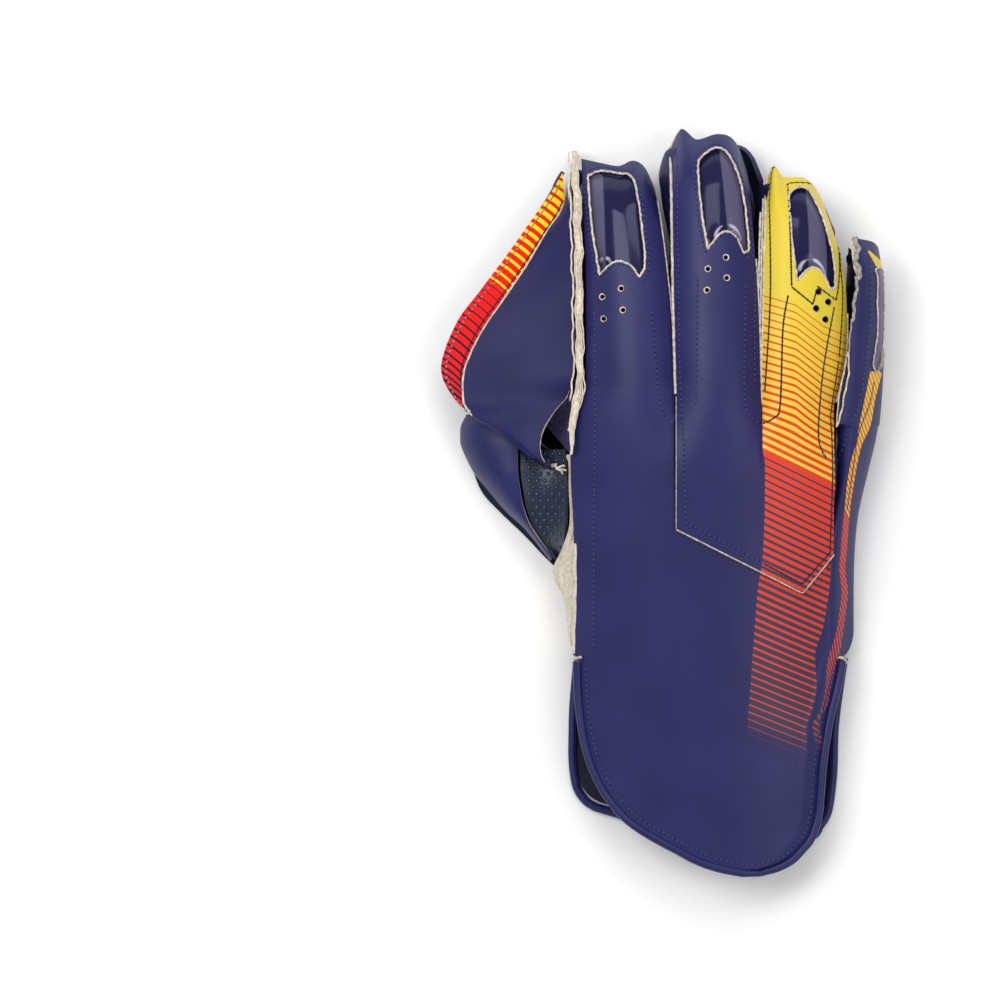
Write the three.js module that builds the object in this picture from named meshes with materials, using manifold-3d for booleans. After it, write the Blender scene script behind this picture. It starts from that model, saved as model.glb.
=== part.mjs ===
// A right-hand wicketkeeping glove, lying palm down, seen from its back.
// X runs from the thumb side to the little-finger side, Y from the cuff to the
// fingertips and Z up, in millimetres. While it is drawn, X = 0 is the middle of
// the hand and Y = 0 the wrist seam; the finished glove is then set down with
// the middle of its box at the origin.

import * as THREE from "three";
import { mergeVertices } from "three/addons/utils/BufferGeometryUtils.js";
import Module from "manifold-3d";

const wasm = await Module();
wasm.setup();

// Driving dimensions, in millimetres
const handWidth = 112;
const handLength = 112;
const cuffLength = 96;
const palmCuffLength = 86;
const indexLength = 99;
const middleLength = 115;
const ringLength = 104;
const littleLength = 82;
const tipDepth = 12;
const handDepth = 54;
const fingerCrown = 8;
const tipFall = 17;
const palmTipRise = 9;
const palmTipBack = 4;
const knuckleRise = 5;
const sideRoll = 11;
const webReach = 62;
const webHeight = 136;
const thumbReach = 54;
const thumbDepth = 26;
const trimWidthLap = 3;
const leatherWall = 1.8;
const rubberWall = 3;
const wallLeather = 1.4;
const webWall = 1.8;
const capWall = 1;
const weltWide = 4.4;
const weltThick = 4;
const pipingRadius = 1.9;
const ventRadius = 1.3;
const rawEdge = 2.4;
const seamGap = 0.6;
const lapGap = 0.6;
const hiddenDip = 4;
const rollDrop = 1.8;
const littleTipFall = 8.5;
const meshSag = 2.5;
const webUnderFinger = 2.5;
const webRubberReach = 5;
const trimDrop = 3;
const pipingSeat = 2 * pipingRadius + lapGap;

// Shares: how far under the overlay the main panel's hidden middle reaches, of
// the hand's length; the thumb's root, of the hand's width; the web's low end,
// of the hand's length; the index finger's and the side roll's part of the back
const hiddenReach = 0.62;
const thumbRoot = 0.465;
const webStart = 0.72;
const indexPart = 0.3;
const rollPart = 0.2;
const cuffTurn = 0.3;
const chamoisShare = 0.45;

// Where each finger starts and ends: root is the slit's end as a share of the
// hand's length on the back, palmRoot the same on the palm, length is its own
// and curl how much of the palm's rise it has at its tip
const fingers = {
  index: { root: 1.03, palmRoot: 1.34, length: indexLength, curl: 1 },
  middle: { root: 1.0, palmRoot: 1.4, length: middleLength, curl: 1 },
  ring: { root: 0.955, palmRoot: 1.42, length: ringLength, curl: 1 },
  little: { root: 0.875, palmRoot: 1.2, length: littleLength, curl: 0.15 },
};

// Edges of the fingers on the back, as shares of the hand's width
const fingerEdges = {
  index: [
    { along: 0, left: -0.453, right: -0.114 },
    { along: 0.4, left: -0.452, right: -0.13 },
    { along: 0.7, left: -0.459, right: -0.155 },
    { along: 1, left: -0.469, right: -0.186 },
  ],
  middle: [
    { along: 0, left: -0.108, right: 0.215 },
    { along: 0.4, left: -0.117, right: 0.206 },
    { along: 0.75, left: -0.121, right: 0.186 },
    { along: 1, left: -0.123, right: 0.168 },
  ],
  ring: [
    { along: 0, left: 0.22, right: 0.499 },
    { along: 0.15, left: 0.22, right: 0.528 },
    { along: 0.4, left: 0.226, right: 0.549 },
    { along: 0.7, left: 0.232, right: 0.54 },
    { along: 1, left: 0.242, right: 0.49 },
  ],
  little: [
    { along: 0, left: 0.512, right: 0.681 },
    { along: 0.2, left: 0.545, right: 0.692 },
    { along: 0.5, left: 0.566, right: 0.698 },
    { along: 0.8, left: 0.588, right: 0.697 },
    { along: 1, left: 0.58, right: 0.68 },
  ],
};

// Two-lobed fingertips: how far each place across the tip lies back from the
// fingertip's end, as shares of the tip depth
const fingerTips = {
  index: [
    { across: 0, back: 0 },
    { across: 0.3, back: 0.2 },
    { across: 0.5, back: 0.3 },
    { across: 0.7, back: 0.1 },
    { across: 0.88, back: 0.4 },
    { across: 1, back: 1.1 },
  ],
  middle: [
    { across: 0, back: 0.6 },
    { across: 0.14, back: 0 },
    { across: 0.34, back: 0.4 },
    { across: 0.62, back: 0.2 },
    { across: 0.88, back: 0.6 },
    { across: 1, back: 1.5 },
  ],
  ring: [
    { across: 0, back: 0.63 },
    { across: 0.12, back: 0 },
    { across: 0.28, back: 0.42 },
    { across: 0.5, back: 0.42 },
    { across: 0.8, back: 0.9 },
    { across: 1, back: 2 },
  ],
  little: [
    { across: 0, back: 0 },
    { across: 0.3, back: 0.15 },
    { across: 0.6, back: 0.5 },
    { across: 1, back: 1.1 },
  ],
};

// Outline of the back from the cuff's end to the finger roots. at is -1 at the
// cuff's end, 0 at the wrist seam and 1 at the knuckles; left and right are
// shares of the hand's width.
const backOutline = [
  { at: -1, left: 0.12, right: 0.25 },
  { at: -0.98, left: 0.035, right: 0.326 },
  { at: -0.885, left: -0.142, right: 0.445 },
  { at: -0.775, left: -0.296, right: 0.488 },
  { at: -0.667, left: -0.38, right: 0.499 },
  { at: -0.524, left: -0.445, right: 0.508 },
  { at: -0.327, left: -0.486, right: 0.532 },
  { at: 0, left: -0.503, right: 0.585 },
  { at: 0.25, left: -0.497, right: 0.584 },
  { at: 0.52, left: -0.502, right: 0.598 },
  { at: 0.7, left: -0.512, right: 0.637 },
  { at: 0.83, left: -0.51, right: 0.668 },
  { at: 0.96, left: -0.48, right: 0.687 },
  { at: 1.03, left: -0.453, right: 0.692 },
];

// Height of the back's middle line and how far its sides fall below that, as
// shares of the hand's depth. at runs on to 2 at the middle fingertip.
const backArch = [
  { at: -1, high: 0.46, fall: 0.2 },
  { at: -0.5, high: 0.6, fall: 0.28 },
  { at: 0, high: 0.76, fall: 0.4 },
  { at: 0.5, high: 0.91, fall: 0.34 },
  { at: 1, high: 1, fall: 0.24 },
  { at: 1.4, high: 0.93, fall: 0.17 },
  { at: 1.75, high: 0.8, fall: 0.13 },
  { at: 2, high: 0.66, fall: 0.11 },
];

// The palm cuff's outline: at is 0 at the wrist seam and -1 at its end
const palmCuffOutline = [
  { at: 0, left: -0.5, right: 0.565 },
  { at: -0.35, left: -0.525, right: 0.53 },
  { at: -0.64, left: -0.512, right: 0.522 },
  { at: -0.8, left: -0.44, right: 0.5 },
  { at: -0.9, left: -0.33, right: 0.45 },
  { at: -0.97, left: -0.13, right: 0.34 },
  { at: -1, left: 0.02, right: 0.2 },
];

// Thumb-side edge of the palm's rubber, from the wrist seam to the crotch
const palmLeft = [
  { at: -0.05, left: -0.122 },
  { at: 0.06, left: -0.122 },
  { at: 0.21, left: -0.138 },
  { at: 0.38, left: -0.19 },
  { at: 0.52, left: -0.276 },
  { at: 0.6, left: -0.315 },
  { at: 0.7, left: -0.27 },
  { at: 0.76, left: -0.33 },
  { at: 0.82, left: -0.5 },
  { at: 0.97, left: -0.54 },
  { at: 1.34, left: -0.565 },
];

// Edges of the fingers on the palm, as shares of the hand's width
const palmEdges = {
  index: [
    { along: 0, left: -0.565, right: -0.146 },
    { along: 1, left: -0.505, right: -0.18 },
  ],
  middle: [
    { along: 0, left: -0.136, right: 0.208 },
    { along: 1, left: -0.105, right: 0.235 },
  ],
  ring: [
    { along: 0, left: 0.218, right: 0.53 },
    { along: 1, left: 0.255, right: 0.51 },
  ],
  little: [
    { along: 0, left: 0.54, right: 0.635 },
    { along: 1, left: 0.565, right: 0.625 },
  ],
};

// The web between index finger and thumb, from its low end beside the thumb to
// the index fingertip. in is the edge by the finger, line the cut edge that laps
// the printed trim and out the trim's outer edge: X as shares of the web's
// reach, Y of its height. top is the height at the line, of the thumb's depth.
const webRows = [
  { inX: 0.2, inY: 0.0, lineX: 0.277, lineY: 0.008, top: 1.3 },
  { inX: 0.272, inY: 0.012, lineX: 0.368, lineY: 0.044, top: 1.3 },
  { inX: 0.31, inY: 0.06, lineX: 0.506, lineY: 0.089, top: 1.29 },
  { inX: 0.29, inY: 0.117, lineX: 0.631, lineY: 0.126, top: 1.27 },
  { inX: 0.21, inY: 0.178, lineX: 0.756, lineY: 0.164, top: 1.22, outX: 0.811, outY: 0.183 },
  { inX: 0.118, inY: 0.23, lineX: 0.832, lineY: 0.218, top: 1.08, outX: 0.908, outY: 0.243 },
  { inX: 0.08, inY: 0.313, lineX: 0.839, lineY: 0.307, top: 0.98, outX: 0.995, outY: 0.323 },
  { inX: 0.072, inY: 0.44, lineX: 0.721, lineY: 0.455, top: 0.9, outX: 0.86, outY: 0.424 },
  { inX: 0.072, inY: 0.566, lineX: 0.555, lineY: 0.56, top: 0.86, outX: 0.707, outY: 0.531 },
  { inX: 0.076, inY: 0.692, lineX: 0.402, lineY: 0.661, top: 0.82, outX: 0.555, outY: 0.642 },
  { inX: 0.08, inY: 0.8, lineX: 0.265, lineY: 0.752, top: 0.78, outX: 0.402, outY: 0.749 },
  { inX: 0.12, inY: 0.88, lineX: 0.19, lineY: 0.815, top: 0.72, outX: 0.264, outY: 0.844 },
  { inX: 0.13, inY: 0.94, lineX: 0.15, lineY: 0.862, top: 0.66, outX: 0.17, outY: 0.93 },
];

// The thumb's rubber face from the wrist to the thumb tip: X as shares of the
// thumb's reach, Y of the hand's length
const thumbFaceRows = [
  { leftX: -0.6, leftY: 0.005, rightX: -0.665, rightY: 0.002 },
  { leftX: -0.4, leftY: 0.085, rightX: -0.668, rightY: 0.07 },
  { leftX: -0.088, leftY: 0.211, rightX: -0.636, rightY: 0.211 },
  { leftX: 0.239, leftY: 0.346, rightX: -0.52, rightY: 0.38 },
  { leftX: 0.462, leftY: 0.457, rightX: -0.345, rightY: 0.52 },
  { leftX: 0.661, leftY: 0.549, rightX: -0.167, rightY: 0.626 },
  { leftX: 0.804, leftY: 0.626, rightX: 0.064, rightY: 0.714 },
  { leftX: 0.884, leftY: 0.726, rightX: 0.302, rightY: 0.802 },
  { leftX: 0.915, leftY: 0.825, rightX: 0.501, rightY: 0.871 },
  { leftX: 0.884, leftY: 0.894, rightX: 0.661, rightY: 0.917 },
];

// The thumb's leather back: out is its low edge over the rubber face, ridge its
// cut upper edge, top the ridge's height as a share of the thumb's depth
const thumbBackRows = [
  { outX: 0.26, outY: 0.36, ridgeX: 0.235, ridgeY: 0.37, top: 0.5 },
  { outX: 0.46, outY: 0.48, ridgeX: 0.4, ridgeY: 0.48, top: 0.7 },
  { outX: 0.605, outY: 0.545, ridgeX: 0.463, ridgeY: 0.55, top: 0.84 },
  { outX: 0.725, outY: 0.61, ridgeX: 0.495, ridgeY: 0.625, top: 0.93 },
  { outX: 0.855, outY: 0.69, ridgeX: 0.518, ridgeY: 0.718, top: 0.98 },
  { outX: 0.93, outY: 0.755, ridgeX: 0.518, ridgeY: 0.787, top: 0.98 },
  { outX: 0.98, outY: 0.825, ridgeX: 0.518, ridgeY: 0.848, top: 0.95 },
  { outX: 0.975, outY: 0.88, ridgeX: 0.58, ridgeY: 0.9, top: 0.84 },
  { outX: 0.93, outY: 0.925, ridgeX: 0.7, ridgeY: 0.94, top: 0.55 },
];

// The mesh panel between the thumb's ridge and the side of the hand
const meshRows = [
  { outX: 0.2, outY: 0.37, inX: 0.17, inY: 0.36, outTop: 0.52, inTop: 0.62 },
  { outX: 0.375, outY: 0.48, inX: 0.15, inY: 0.44, outTop: 0.7, inTop: 0.95 },
  { outX: 0.44, outY: 0.55, inX: 0.13, inY: 0.55, outTop: 0.84, inTop: 1.1 },
  { outX: 0.472, outY: 0.625, inX: 0.125, inY: 0.633, outTop: 0.93, inTop: 1.15 },
  { outX: 0.495, outY: 0.718, inX: 0.125, inY: 0.7, outTop: 0.97, inTop: 1.12 },
  { outX: 0.495, outY: 0.787, inX: 0.14, inY: 0.79, outTop: 0.97, inTop: 1.1 },
];

// The pale side gusset: top edge under the back, belly and low edge
const gussetRows = [
  { topY: 0.77, bellyX: 0.105, bellyTop: 1.14, lowX: 0.105, lowY: 0.77, lowTop: 1.1 },
  { topY: 0.65, bellyX: 0.1, bellyTop: 1.16, lowX: 0.09, lowY: 0.65, lowTop: 1.1 },
  { topY: 0.52, bellyX: 0.09, bellyTop: 1.1, lowX: 0.1, lowY: 0.52, lowTop: 0.98 },
  { topY: 0.41, bellyX: 0.15, bellyTop: 0.95, lowX: 0.115, lowY: 0.41, lowTop: 0.8 },
  { topY: 0.32, bellyX: 0.22, bellyTop: 0.7, lowX: 0.2, lowY: 0.3, lowTop: 0.42 },
  { topY: 0.22, bellyX: 0.2, bellyTop: 0.64, lowX: 0.05, lowY: 0.235, lowTop: 0.27 },
  { topY: 0.12, bellyX: 0.15, bellyTop: 0.6, lowX: -0.2, lowY: 0.13, lowTop: 0.27 },
  { topY: 0.03, bellyX: 0.1, bellyTop: 0.56, lowX: -0.46, lowY: 0.02, lowTop: 0.27 },
];

// The wall round the crotch between thumb and index finger, on the palm and
// under the back, in shares of the hand's width and length and thumb's depth
const crotchRows = [
  { lowX: -0.765, lowY: 0.9, topX: -0.76, topY: 0.9, top: 0.6 },
  { lowX: -0.7, lowY: 0.86, topX: -0.7, topY: 0.86, top: 0.8 },
  { lowX: -0.61, lowY: 0.79, topX: -0.64, topY: 0.8, top: 0.84 },
  { lowX: -0.5, lowY: 0.7, topX: -0.54, topY: 0.76, top: 0.9 },
  { lowX: -0.37, lowY: 0.615, topX: -0.465, topY: 0.745, top: 1.12 },
  { lowX: -0.25, lowY: 0.66, topX: -0.445, topY: 0.785, top: 1.16 },
  { lowX: -0.26, lowY: 0.76, topX: -0.443, topY: 0.83, top: 1.18 },
  { lowX: -0.38, lowY: 0.83, topX: -0.443, topY: 0.88, top: 1.2 },
  { lowX: -0.49, lowY: 0.9, topX: -0.438, topY: 0.93, top: 1.22 },
];

// Windows in the fingertips: their outline as shares of their own width and
// height, and where they lie across and along each finger
const windowOutline = [
  { across: 0.1, along: 0 },
  { across: 0.0, along: 0.26 },
  { across: 0.02, along: 0.84 },
  { across: 0.2, along: 0.96 },
  { across: 0.55, along: 1 },
  { across: 0.86, along: 0.88 },
  { across: 0.98, along: 0.6 },
  { across: 1, along: 0.1 },
  { across: 0.9, along: 0.02 },
  { across: 0.66, along: 0.17 },
  { across: 0.42, along: 0.19 },
];
const windowPlaces = {
  index: { left: 0.08, right: 0.78, low: 0.476, high: 0.935 },
  middle: { left: 0.34, right: 0.93, low: 0.52, high: 0.92 },
  ring: { left: 0.36, right: 0.88, low: 0.5, high: 0.905 },
};
const ventPlaces = [
  { across: 0.5, along: -0.09 },
  { across: 0.17, along: -0.18 },
  { across: 0.52, along: -0.29 },
  { across: 0.17, along: -0.38 },
];

// Colours
const navy = 0x34325f;
const rubberNavy = 0x3d3566;
const cream = 0xe0d2be;
const printRed = 0xe8301c;
const capNavy = 0x3a3a66;
const meshDark = 0x16263c;
const liningBlack = 0x15151c;

const leather = (color, roughness) =>
  new THREE.MeshStandardMaterial({ color, roughness, metalness: 0 });

const glove = new THREE.Group();

function addPiece(name, geometry, material) {
  const mesh = new THREE.Mesh(geometry, material);
  mesh.name = name;
  glove.add(mesh);
}

// A smooth curve through the rows of a table, read at one place
function profile(rows, place, column, value) {
  const upward = rows[rows.length - 1][place] > rows[0][place];
  const sorted = upward ? rows : [...rows].reverse();
  const last = sorted.length - 1;
  const at = THREE.MathUtils.clamp(value, sorted[0][place], sorted[last][place]);
  let k = 0;
  while (k < last - 1 && at > sorted[k + 1][place]) k += 1;
  const slope = (a, b) => (sorted[b][column] - sorted[a][column]) / (sorted[b][place] - sorted[a][place]);
  const span = sorted[k + 1][place] - sorted[k][place];
  const t = (at - sorted[k][place]) / span;
  const here = slope(k, k + 1);
  const before = k > 0 ? slope(k - 1, k) : here;
  const after = k + 1 < last ? slope(k + 1, k + 2) : here;
  const startTangent = before * here > 0 ? (before + here) / 2 : 0;
  const endTangent = here * after > 0 ? (here + after) / 2 : 0;
  const a = sorted[k][column];
  const b = sorted[k + 1][column];
  return a * (1 + 2 * t) * (1 - t) ** 2 + b * t * t * (3 - 2 * t)
    + startTangent * span * t * (1 - t) ** 2 - endTangent * span * t * t * (1 - t);
}

// Place along the glove of a length from the wrist seam
function station(y) {
  if (y < 0) return y / cuffLength;
  if (y < handLength) return y / handLength;
  return 1 + (y - handLength) / middleLength;
}

// Height of the hand's back without the fingers' own crowns
function backHeight(x, y) {
  const at = station(y);
  const high = profile(backArch, "at", "high", at) * handDepth;
  const fall = profile(backArch, "at", "fall", at) * handDepth;
  const side = Math.abs(x) / (handWidth / 2);
  return high - fall * side ** 2.4;
}

// How far a finger's back falls beside its middle line; below the slit this
// crown dies out into the hand
function crownDrop(across, along) {
  const crown = fingerCrown * THREE.MathUtils.smoothstep(along, -0.35, 0.1);
  return crown * Math.abs(2 * across - 1) ** 2.2;
}

// A point on the back of a finger: across from 0 to 1, along 0 at its slit and 1
// at its tip
function backPoint(name, across, along) {
  const finger = fingers[name];
  const root = finger.root * handLength;
  const reach = finger.length - profile(fingerTips[name], "across", "back", across) * tipDepth;
  const y = root + along * (along > 0 ? reach : finger.length);
  const left = profile(fingerEdges[name], "along", "left", along) * handWidth;
  const right = profile(fingerEdges[name], "along", "right", along) * handWidth;
  const x = THREE.MathUtils.lerp(left, right, across);
  const tip = tipFall * Math.max(0, (along - 0.78) / 0.22) ** 2;
  return new THREE.Vector3(x, y, backHeight(x, y) - crownDrop(across, along) - tip);
}

// The underside of the palm, a little raised at the knuckles
function palmUnder(y) {
  const at = station(y);
  return knuckleRise * THREE.MathUtils.smoothstep(at, 0.75, 1.3)
    * (1 - THREE.MathUtils.smoothstep(at, 1.45, 1.8));
}

function palmPoint(name, across, along) {
  const finger = fingers[name];
  const root = finger.palmRoot * handLength;
  const tip = finger.root * handLength + finger.length
    - palmTipBack - profile(fingerTips[name], "across", "back", across) * tipDepth;
  const y = THREE.MathUtils.lerp(root, tip, along);
  const left = profile(palmEdges[name], "along", "left", along) * handWidth;
  const right = profile(palmEdges[name], "along", "right", along) * handWidth;
  const x = THREE.MathUtils.lerp(left, right, across);
  const rise = finger.curl * palmTipRise * Math.max(0, (along - 0.55) / 0.45) ** 2;
  return new THREE.Vector3(x, y, palmUnder(y) + rise);
}

// A closed sheet over a grid of points, where cells may be missing. The points
// lie on its outer face and the wall goes inwards; face is 1 where the outer
// face looks up out of a grid that runs right and up, -1 where it looks down.
// grow thickens it both ways, for the clearance that it leaves in a neighbour.
function sheet(columns, rows, point, wall, face = 1, has = () => true, grow = 0) {
  const id = (i, j) => j * columns + i;
  const outer = new Map();
  const faces = [];
  for (let j = 0; j < rows - 1; j += 1) {
    for (let i = 0; i < columns - 1; i += 1) {
      if (!has(i, j)) continue;
      const cell = [id(i, j), id(i + 1, j), id(i + 1, j + 1), id(i, j + 1)];
      cell.forEach((k) => {
        if (!outer.has(k)) outer.set(k, point(k % columns, Math.floor(k / columns)));
      });
      if (face < 0) cell.reverse();
      faces.push([cell[0], cell[1], cell[2]], [cell[0], cell[2], cell[3]]);
    }
  }
  const normals = new Map();
  outer.forEach((_, k) => normals.set(k, new THREE.Vector3()));
  const borders = new Map();
  faces.forEach(([a, b, c]) => {
    const normal = new THREE.Vector3().subVectors(outer.get(b), outer.get(a))
      .cross(new THREE.Vector3().subVectors(outer.get(c), outer.get(a)));
    [a, b, c].forEach((k) => normals.get(k).add(normal));
    [[a, b], [b, c], [c, a]].forEach(([from, to]) => {
      if (borders.has(`${to},${from}`)) borders.delete(`${to},${from}`);
      else borders.set(`${from},${to}`, [from, to]);
    });
  });
  const positions = [];
  const outside = new Map();
  const inside = new Map();
  outer.forEach((p, k) => {
    const normal = normals.get(k).normalize();
    const q = p.clone().addScaledVector(normal, -wall - grow);
    p.addScaledVector(normal, grow);
    outside.set(k, positions.length / 3);
    positions.push(p.x, p.y, p.z);
    inside.set(k, positions.length / 3);
    positions.push(q.x, q.y, q.z);
  });
  const index = [];
  faces.forEach(([a, b, c]) => {
    index.push(outside.get(a), outside.get(b), outside.get(c));
    index.push(inside.get(c), inside.get(b), inside.get(a));
  });
  borders.forEach(([a, b]) => {
    index.push(outside.get(b), outside.get(a), inside.get(a));
    index.push(outside.get(b), inside.get(a), inside.get(b));
  });
  const geometry = new THREE.BufferGeometry();
  geometry.setAttribute("position", new THREE.Float32BufferAttribute(positions, 3));
  geometry.setIndex(index);
  return geometry;
}

function toSolid(geometry) {
  return new wasm.Manifold(new wasm.Mesh({
    numProp: 3,
    vertProperties: new Float32Array(geometry.attributes.position.array),
    triVerts: new Uint32Array(geometry.index.array),
  }));
}

// What is left of a piece once its trimmings have dropped off
function trimmed(solid, ...cutters) {
  const parts = cutters.reduce((left, tool) => left.subtract(tool), solid).decompose();
  return parts.reduce((most, part) => (part.volume() > most.volume() ? part : most));
}

function toGeometry(solid) {
  const mesh = solid.getMesh();
  const geometry = new THREE.BufferGeometry();
  geometry.setAttribute("position", new THREE.Float32BufferAttribute(mesh.vertProperties, 3));
  geometry.setIndex(Array.from(mesh.triVerts));
  return geometry;
}

// An upright cutter with the outline's own corners, taller than the glove
function cutter(outline) {
  const shape = new THREE.Shape(outline.map((p) => new THREE.Vector2(p.x, p.y)));
  const geometry = new THREE.ExtrudeGeometry(shape, { depth: 2 * handDepth, bevelEnabled: false });
  geometry.deleteAttribute("normal");
  geometry.deleteAttribute("uv");
  return toSolid(mergeVertices(geometry));
}

function windowPoint(name, across, along) {
  const place = windowPlaces[name];
  return backPoint(name, THREE.MathUtils.lerp(place.left, place.right, across),
    THREE.MathUtils.lerp(place.low, place.high, along));
}

// Window and vent holes in the finger's back
function cutFinger(solid, name) {
  const at = (p) => windowPoint(name, p.across, p.along);
  let cut = solid.subtract(cutter(windowOutline.map(at)));
  ventPlaces.forEach((vent) => {
    const centre = at(vent);
    const ring = Array.from({ length: 8 }, (_, k) => ({
      x: centre.x + ventRadius * Math.cos((k * Math.PI) / 4),
      y: centre.y + ventRadius * Math.sin((k * Math.PI) / 4),
    }));
    cut = cut.subtract(cutter(ring));
  });
  return cut;
}

const acrossFinger = [0, 0.14, 0.32, 0.5, 0.68, 0.86, 1];
const alongFinger = [0.1, 0.22, 0.36, 0.5, 0.64, 0.76, 0.86, 0.94, 1];
const alongHand = [0, 0.14, 0.28, 0.4, 0.52, 0.64, 0.76, 0.88, 1];
const cuffRows = [-1, -0.98, -0.94, -0.885, -0.82, -0.74, -0.62, -0.45, -0.25];

// Main back panel: the index finger, the hand under the overlay, the little
// finger's side and the back of the cuff are one piece of leather
const hiddenColumns = [0.25, 0.5, 0.75];
const rollTurns = [0, 22, 45, 70, 96, 124, 150];
const mainColumns = acrossFinger.length + hiddenColumns.length + rollTurns.length;
const handRow = cuffRows.length + alongHand.length - 1;
const mainRows = handRow + 1 + alongFinger.length;

function rollPoint(turn, y, inner, outer, lowest) {
  const angle = THREE.MathUtils.degToRad(turn);
  const roll = Math.min(sideRoll, outer - inner);
  const start = outer - roll;
  const x = turn === 0 ? inner : start + roll * Math.sin(angle);
  const top = turn === 0 ? backHeight(inner, y) : backHeight(start, y) - rollDrop;
  const z = turn === 0 ? top : lowest + ((top - lowest) * (1 + Math.cos(angle))) / 2;
  return new THREE.Vector3(x, y, z);
}

function mainPoint(i, j) {
  const hiddenStart = acrossFinger.length;
  const rollStart = hiddenStart + hiddenColumns.length;
  const inCuff = j < cuffRows.length;
  const alongShare = inCuff ? 0 : alongHand[Math.min(j - cuffRows.length, alongHand.length - 1)];
  const top = i < hiddenStart ? fingers.index.root : i < rollStart ? hiddenReach : fingers.little.root;
  const y = inCuff ? cuffRows[j] * (cuffLength - pipingSeat) : alongShare * top * handLength;
  const at = inCuff ? cuffRows[j] : station(y);
  const seat = pipingSeat * THREE.MathUtils.smoothstep(-at, -0.02, 0.06);
  const left = profile(backOutline, "at", "left", at) * handWidth + seat;
  const right = profile(backOutline, "at", "right", at) * handWidth - seat;
  const indexEdge = THREE.MathUtils.lerp(left, right, indexPart);
  const rootRight = fingerEdges.index[0].right * handWidth;
  const indexRight = inCuff ? indexEdge
    : THREE.MathUtils.lerp(indexEdge, rootRight, THREE.MathUtils.smoothstep(alongShare, 0.2, 1));
  const roll = Math.min(sideRoll, rollPart * (right - left));
  const rollInner = right - roll * 1.05;
  if (i < hiddenStart) {
    const across = acrossFinger[i];
    const finger = Math.max(0, j - handRow);
    if (finger > 0) return backPoint("index", across, alongFinger[finger - 1]);
    const x = THREE.MathUtils.lerp(left, indexRight, across);
    const along = (y - fingers.index.root * handLength) / indexLength;
    return new THREE.Vector3(x, y, backHeight(x, y) - crownDrop(across, along));
  }
  if (i < rollStart) {
    const x = THREE.MathUtils.lerp(indexRight, rollInner, hiddenColumns[i - hiddenStart]);
    const dip = inCuff ? 0 : hiddenDip * THREE.MathUtils.smoothstep(alongShare, 0.8, 1);
    return new THREE.Vector3(x, y, backHeight(x, y) - dip);
  }
  const turn = rollTurns[i - rollStart];
  const finger = Math.max(0, j - handRow);
  const sideTurn = inCuff ? turn * cuffTurn
    : turn * THREE.MathUtils.lerp(cuffTurn, 1, Math.min(1, alongShare * 4));
  if (finger === 0) {
    const rootLeft = fingerEdges.little[0].left * handWidth;
    const inner = inCuff ? rollInner
      : THREE.MathUtils.lerp(rollInner, rootLeft, THREE.MathUtils.smoothstep(alongShare, 0.5, 1));
    const point = rollPoint(turn === 0 ? 0 : sideTurn, y, inner, right, lowSide(y));
    const along = (y - fingers.ring.root * handLength) / ringLength;
    if (turn === 0) point.z -= (fingerCrown + lapGap + 1) * THREE.MathUtils.smoothstep(along, -0.8, -0.05);
    return point;
  }
  return littlePoint(turn, alongFinger[finger - 1]);
}

// The little finger lies on its side: turn runs from its raw edge over to its
// outer side and in under it
function littlePoint(turn, along) {
  const across = turn / rollTurns[rollTurns.length - 1];
  const reach = littleLength - profile(fingerTips.little, "across", "back", across) * tipDepth;
  const y = fingers.little.root * handLength + along * reach;
  const inner = profile(fingerEdges.little, "along", "left", along) * handWidth;
  const outer = profile(fingerEdges.little, "along", "right", along) * handWidth;
  const point = rollPoint(turn, y, inner, outer, lowSide(y));
  const tip = littleTipFall * Math.max(0, (along - 0.8) / 0.2) ** 2;
  point.z -= tip * Math.cos(THREE.MathUtils.degToRad(turn / 2));
  return point;
}

function lowSide(y) {
  return palmUnder(y) + rubberWall + seamGap;
}

const mainHas = (i, j) => {
  const hiddenStart = acrossFinger.length - 1;
  const rollStart = acrossFinger.length + hiddenColumns.length;
  return j < handRow || i < hiddenStart || i >= rollStart;
};

const mainSheet = (grow) =>
  toSolid(sheet(mainColumns, mainRows, mainPoint, leatherWall, 1, mainHas, grow));
addPiece("back_main", toGeometry(cutFinger(mainSheet(0), "index")), leather(navy, 0.5));

// Overlay of the middle and ring fingers' backs, with its pointed low end
const overlayLow = [
  { x: -0.112, y: 0.487 },
  { x: 0.378, y: 0.24 },
  { x: 0.502, y: 0.39 },
];
const overlayRows = [0, 0.2, 0.4, 0.6, 0.8, 1];
const overlayNames = ["middle", "ring"];

function overlayPoint(i, j) {
  const name = overlayNames[Math.floor(i / acrossFinger.length)];
  const across = acrossFinger[i % acrossFinger.length];
  const finger = j - overlayRows.length;
  let point;
  if (finger >= 0) {
    point = backPoint(name, across, alongFinger[finger]);
  } else {
    const root = backPoint(name, across, 0);
    const side = root.x / handWidth < overlayLow[1].x ? 0 : 1;
    const [from, to] = [overlayLow[side], overlayLow[side + 1]];
    const share = THREE.MathUtils.clamp((root.x / handWidth - from.x) / (to.x - from.x), 0, 1);
    const low = THREE.MathUtils.lerp(from.y, to.y, share) * handLength;
    const y = THREE.MathUtils.lerp(low, root.y, overlayRows[j]);
    const along = (y - root.y) / fingers[name].length;
    point = new THREE.Vector3(root.x, y, backHeight(root.x, y) - crownDrop(across, along));
  }
  point.z += leatherWall + lapGap;
  return point;
}

const overlayHas = (i, j) => i !== acrossFinger.length - 1 || j < overlayRows.length - 1;
const overlaySheet = (grow) => toSolid(sheet(2 * acrossFinger.length,
  overlayRows.length + alongFinger.length, overlayPoint, leatherWall, 1, overlayHas, grow));
let overlay = overlaySheet(0);
overlayNames.forEach((name) => {
  overlay = cutFinger(overlay, name);
});
addPiece("back_overlay", toGeometry(overlay), leather(navy, 0.5));

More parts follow.
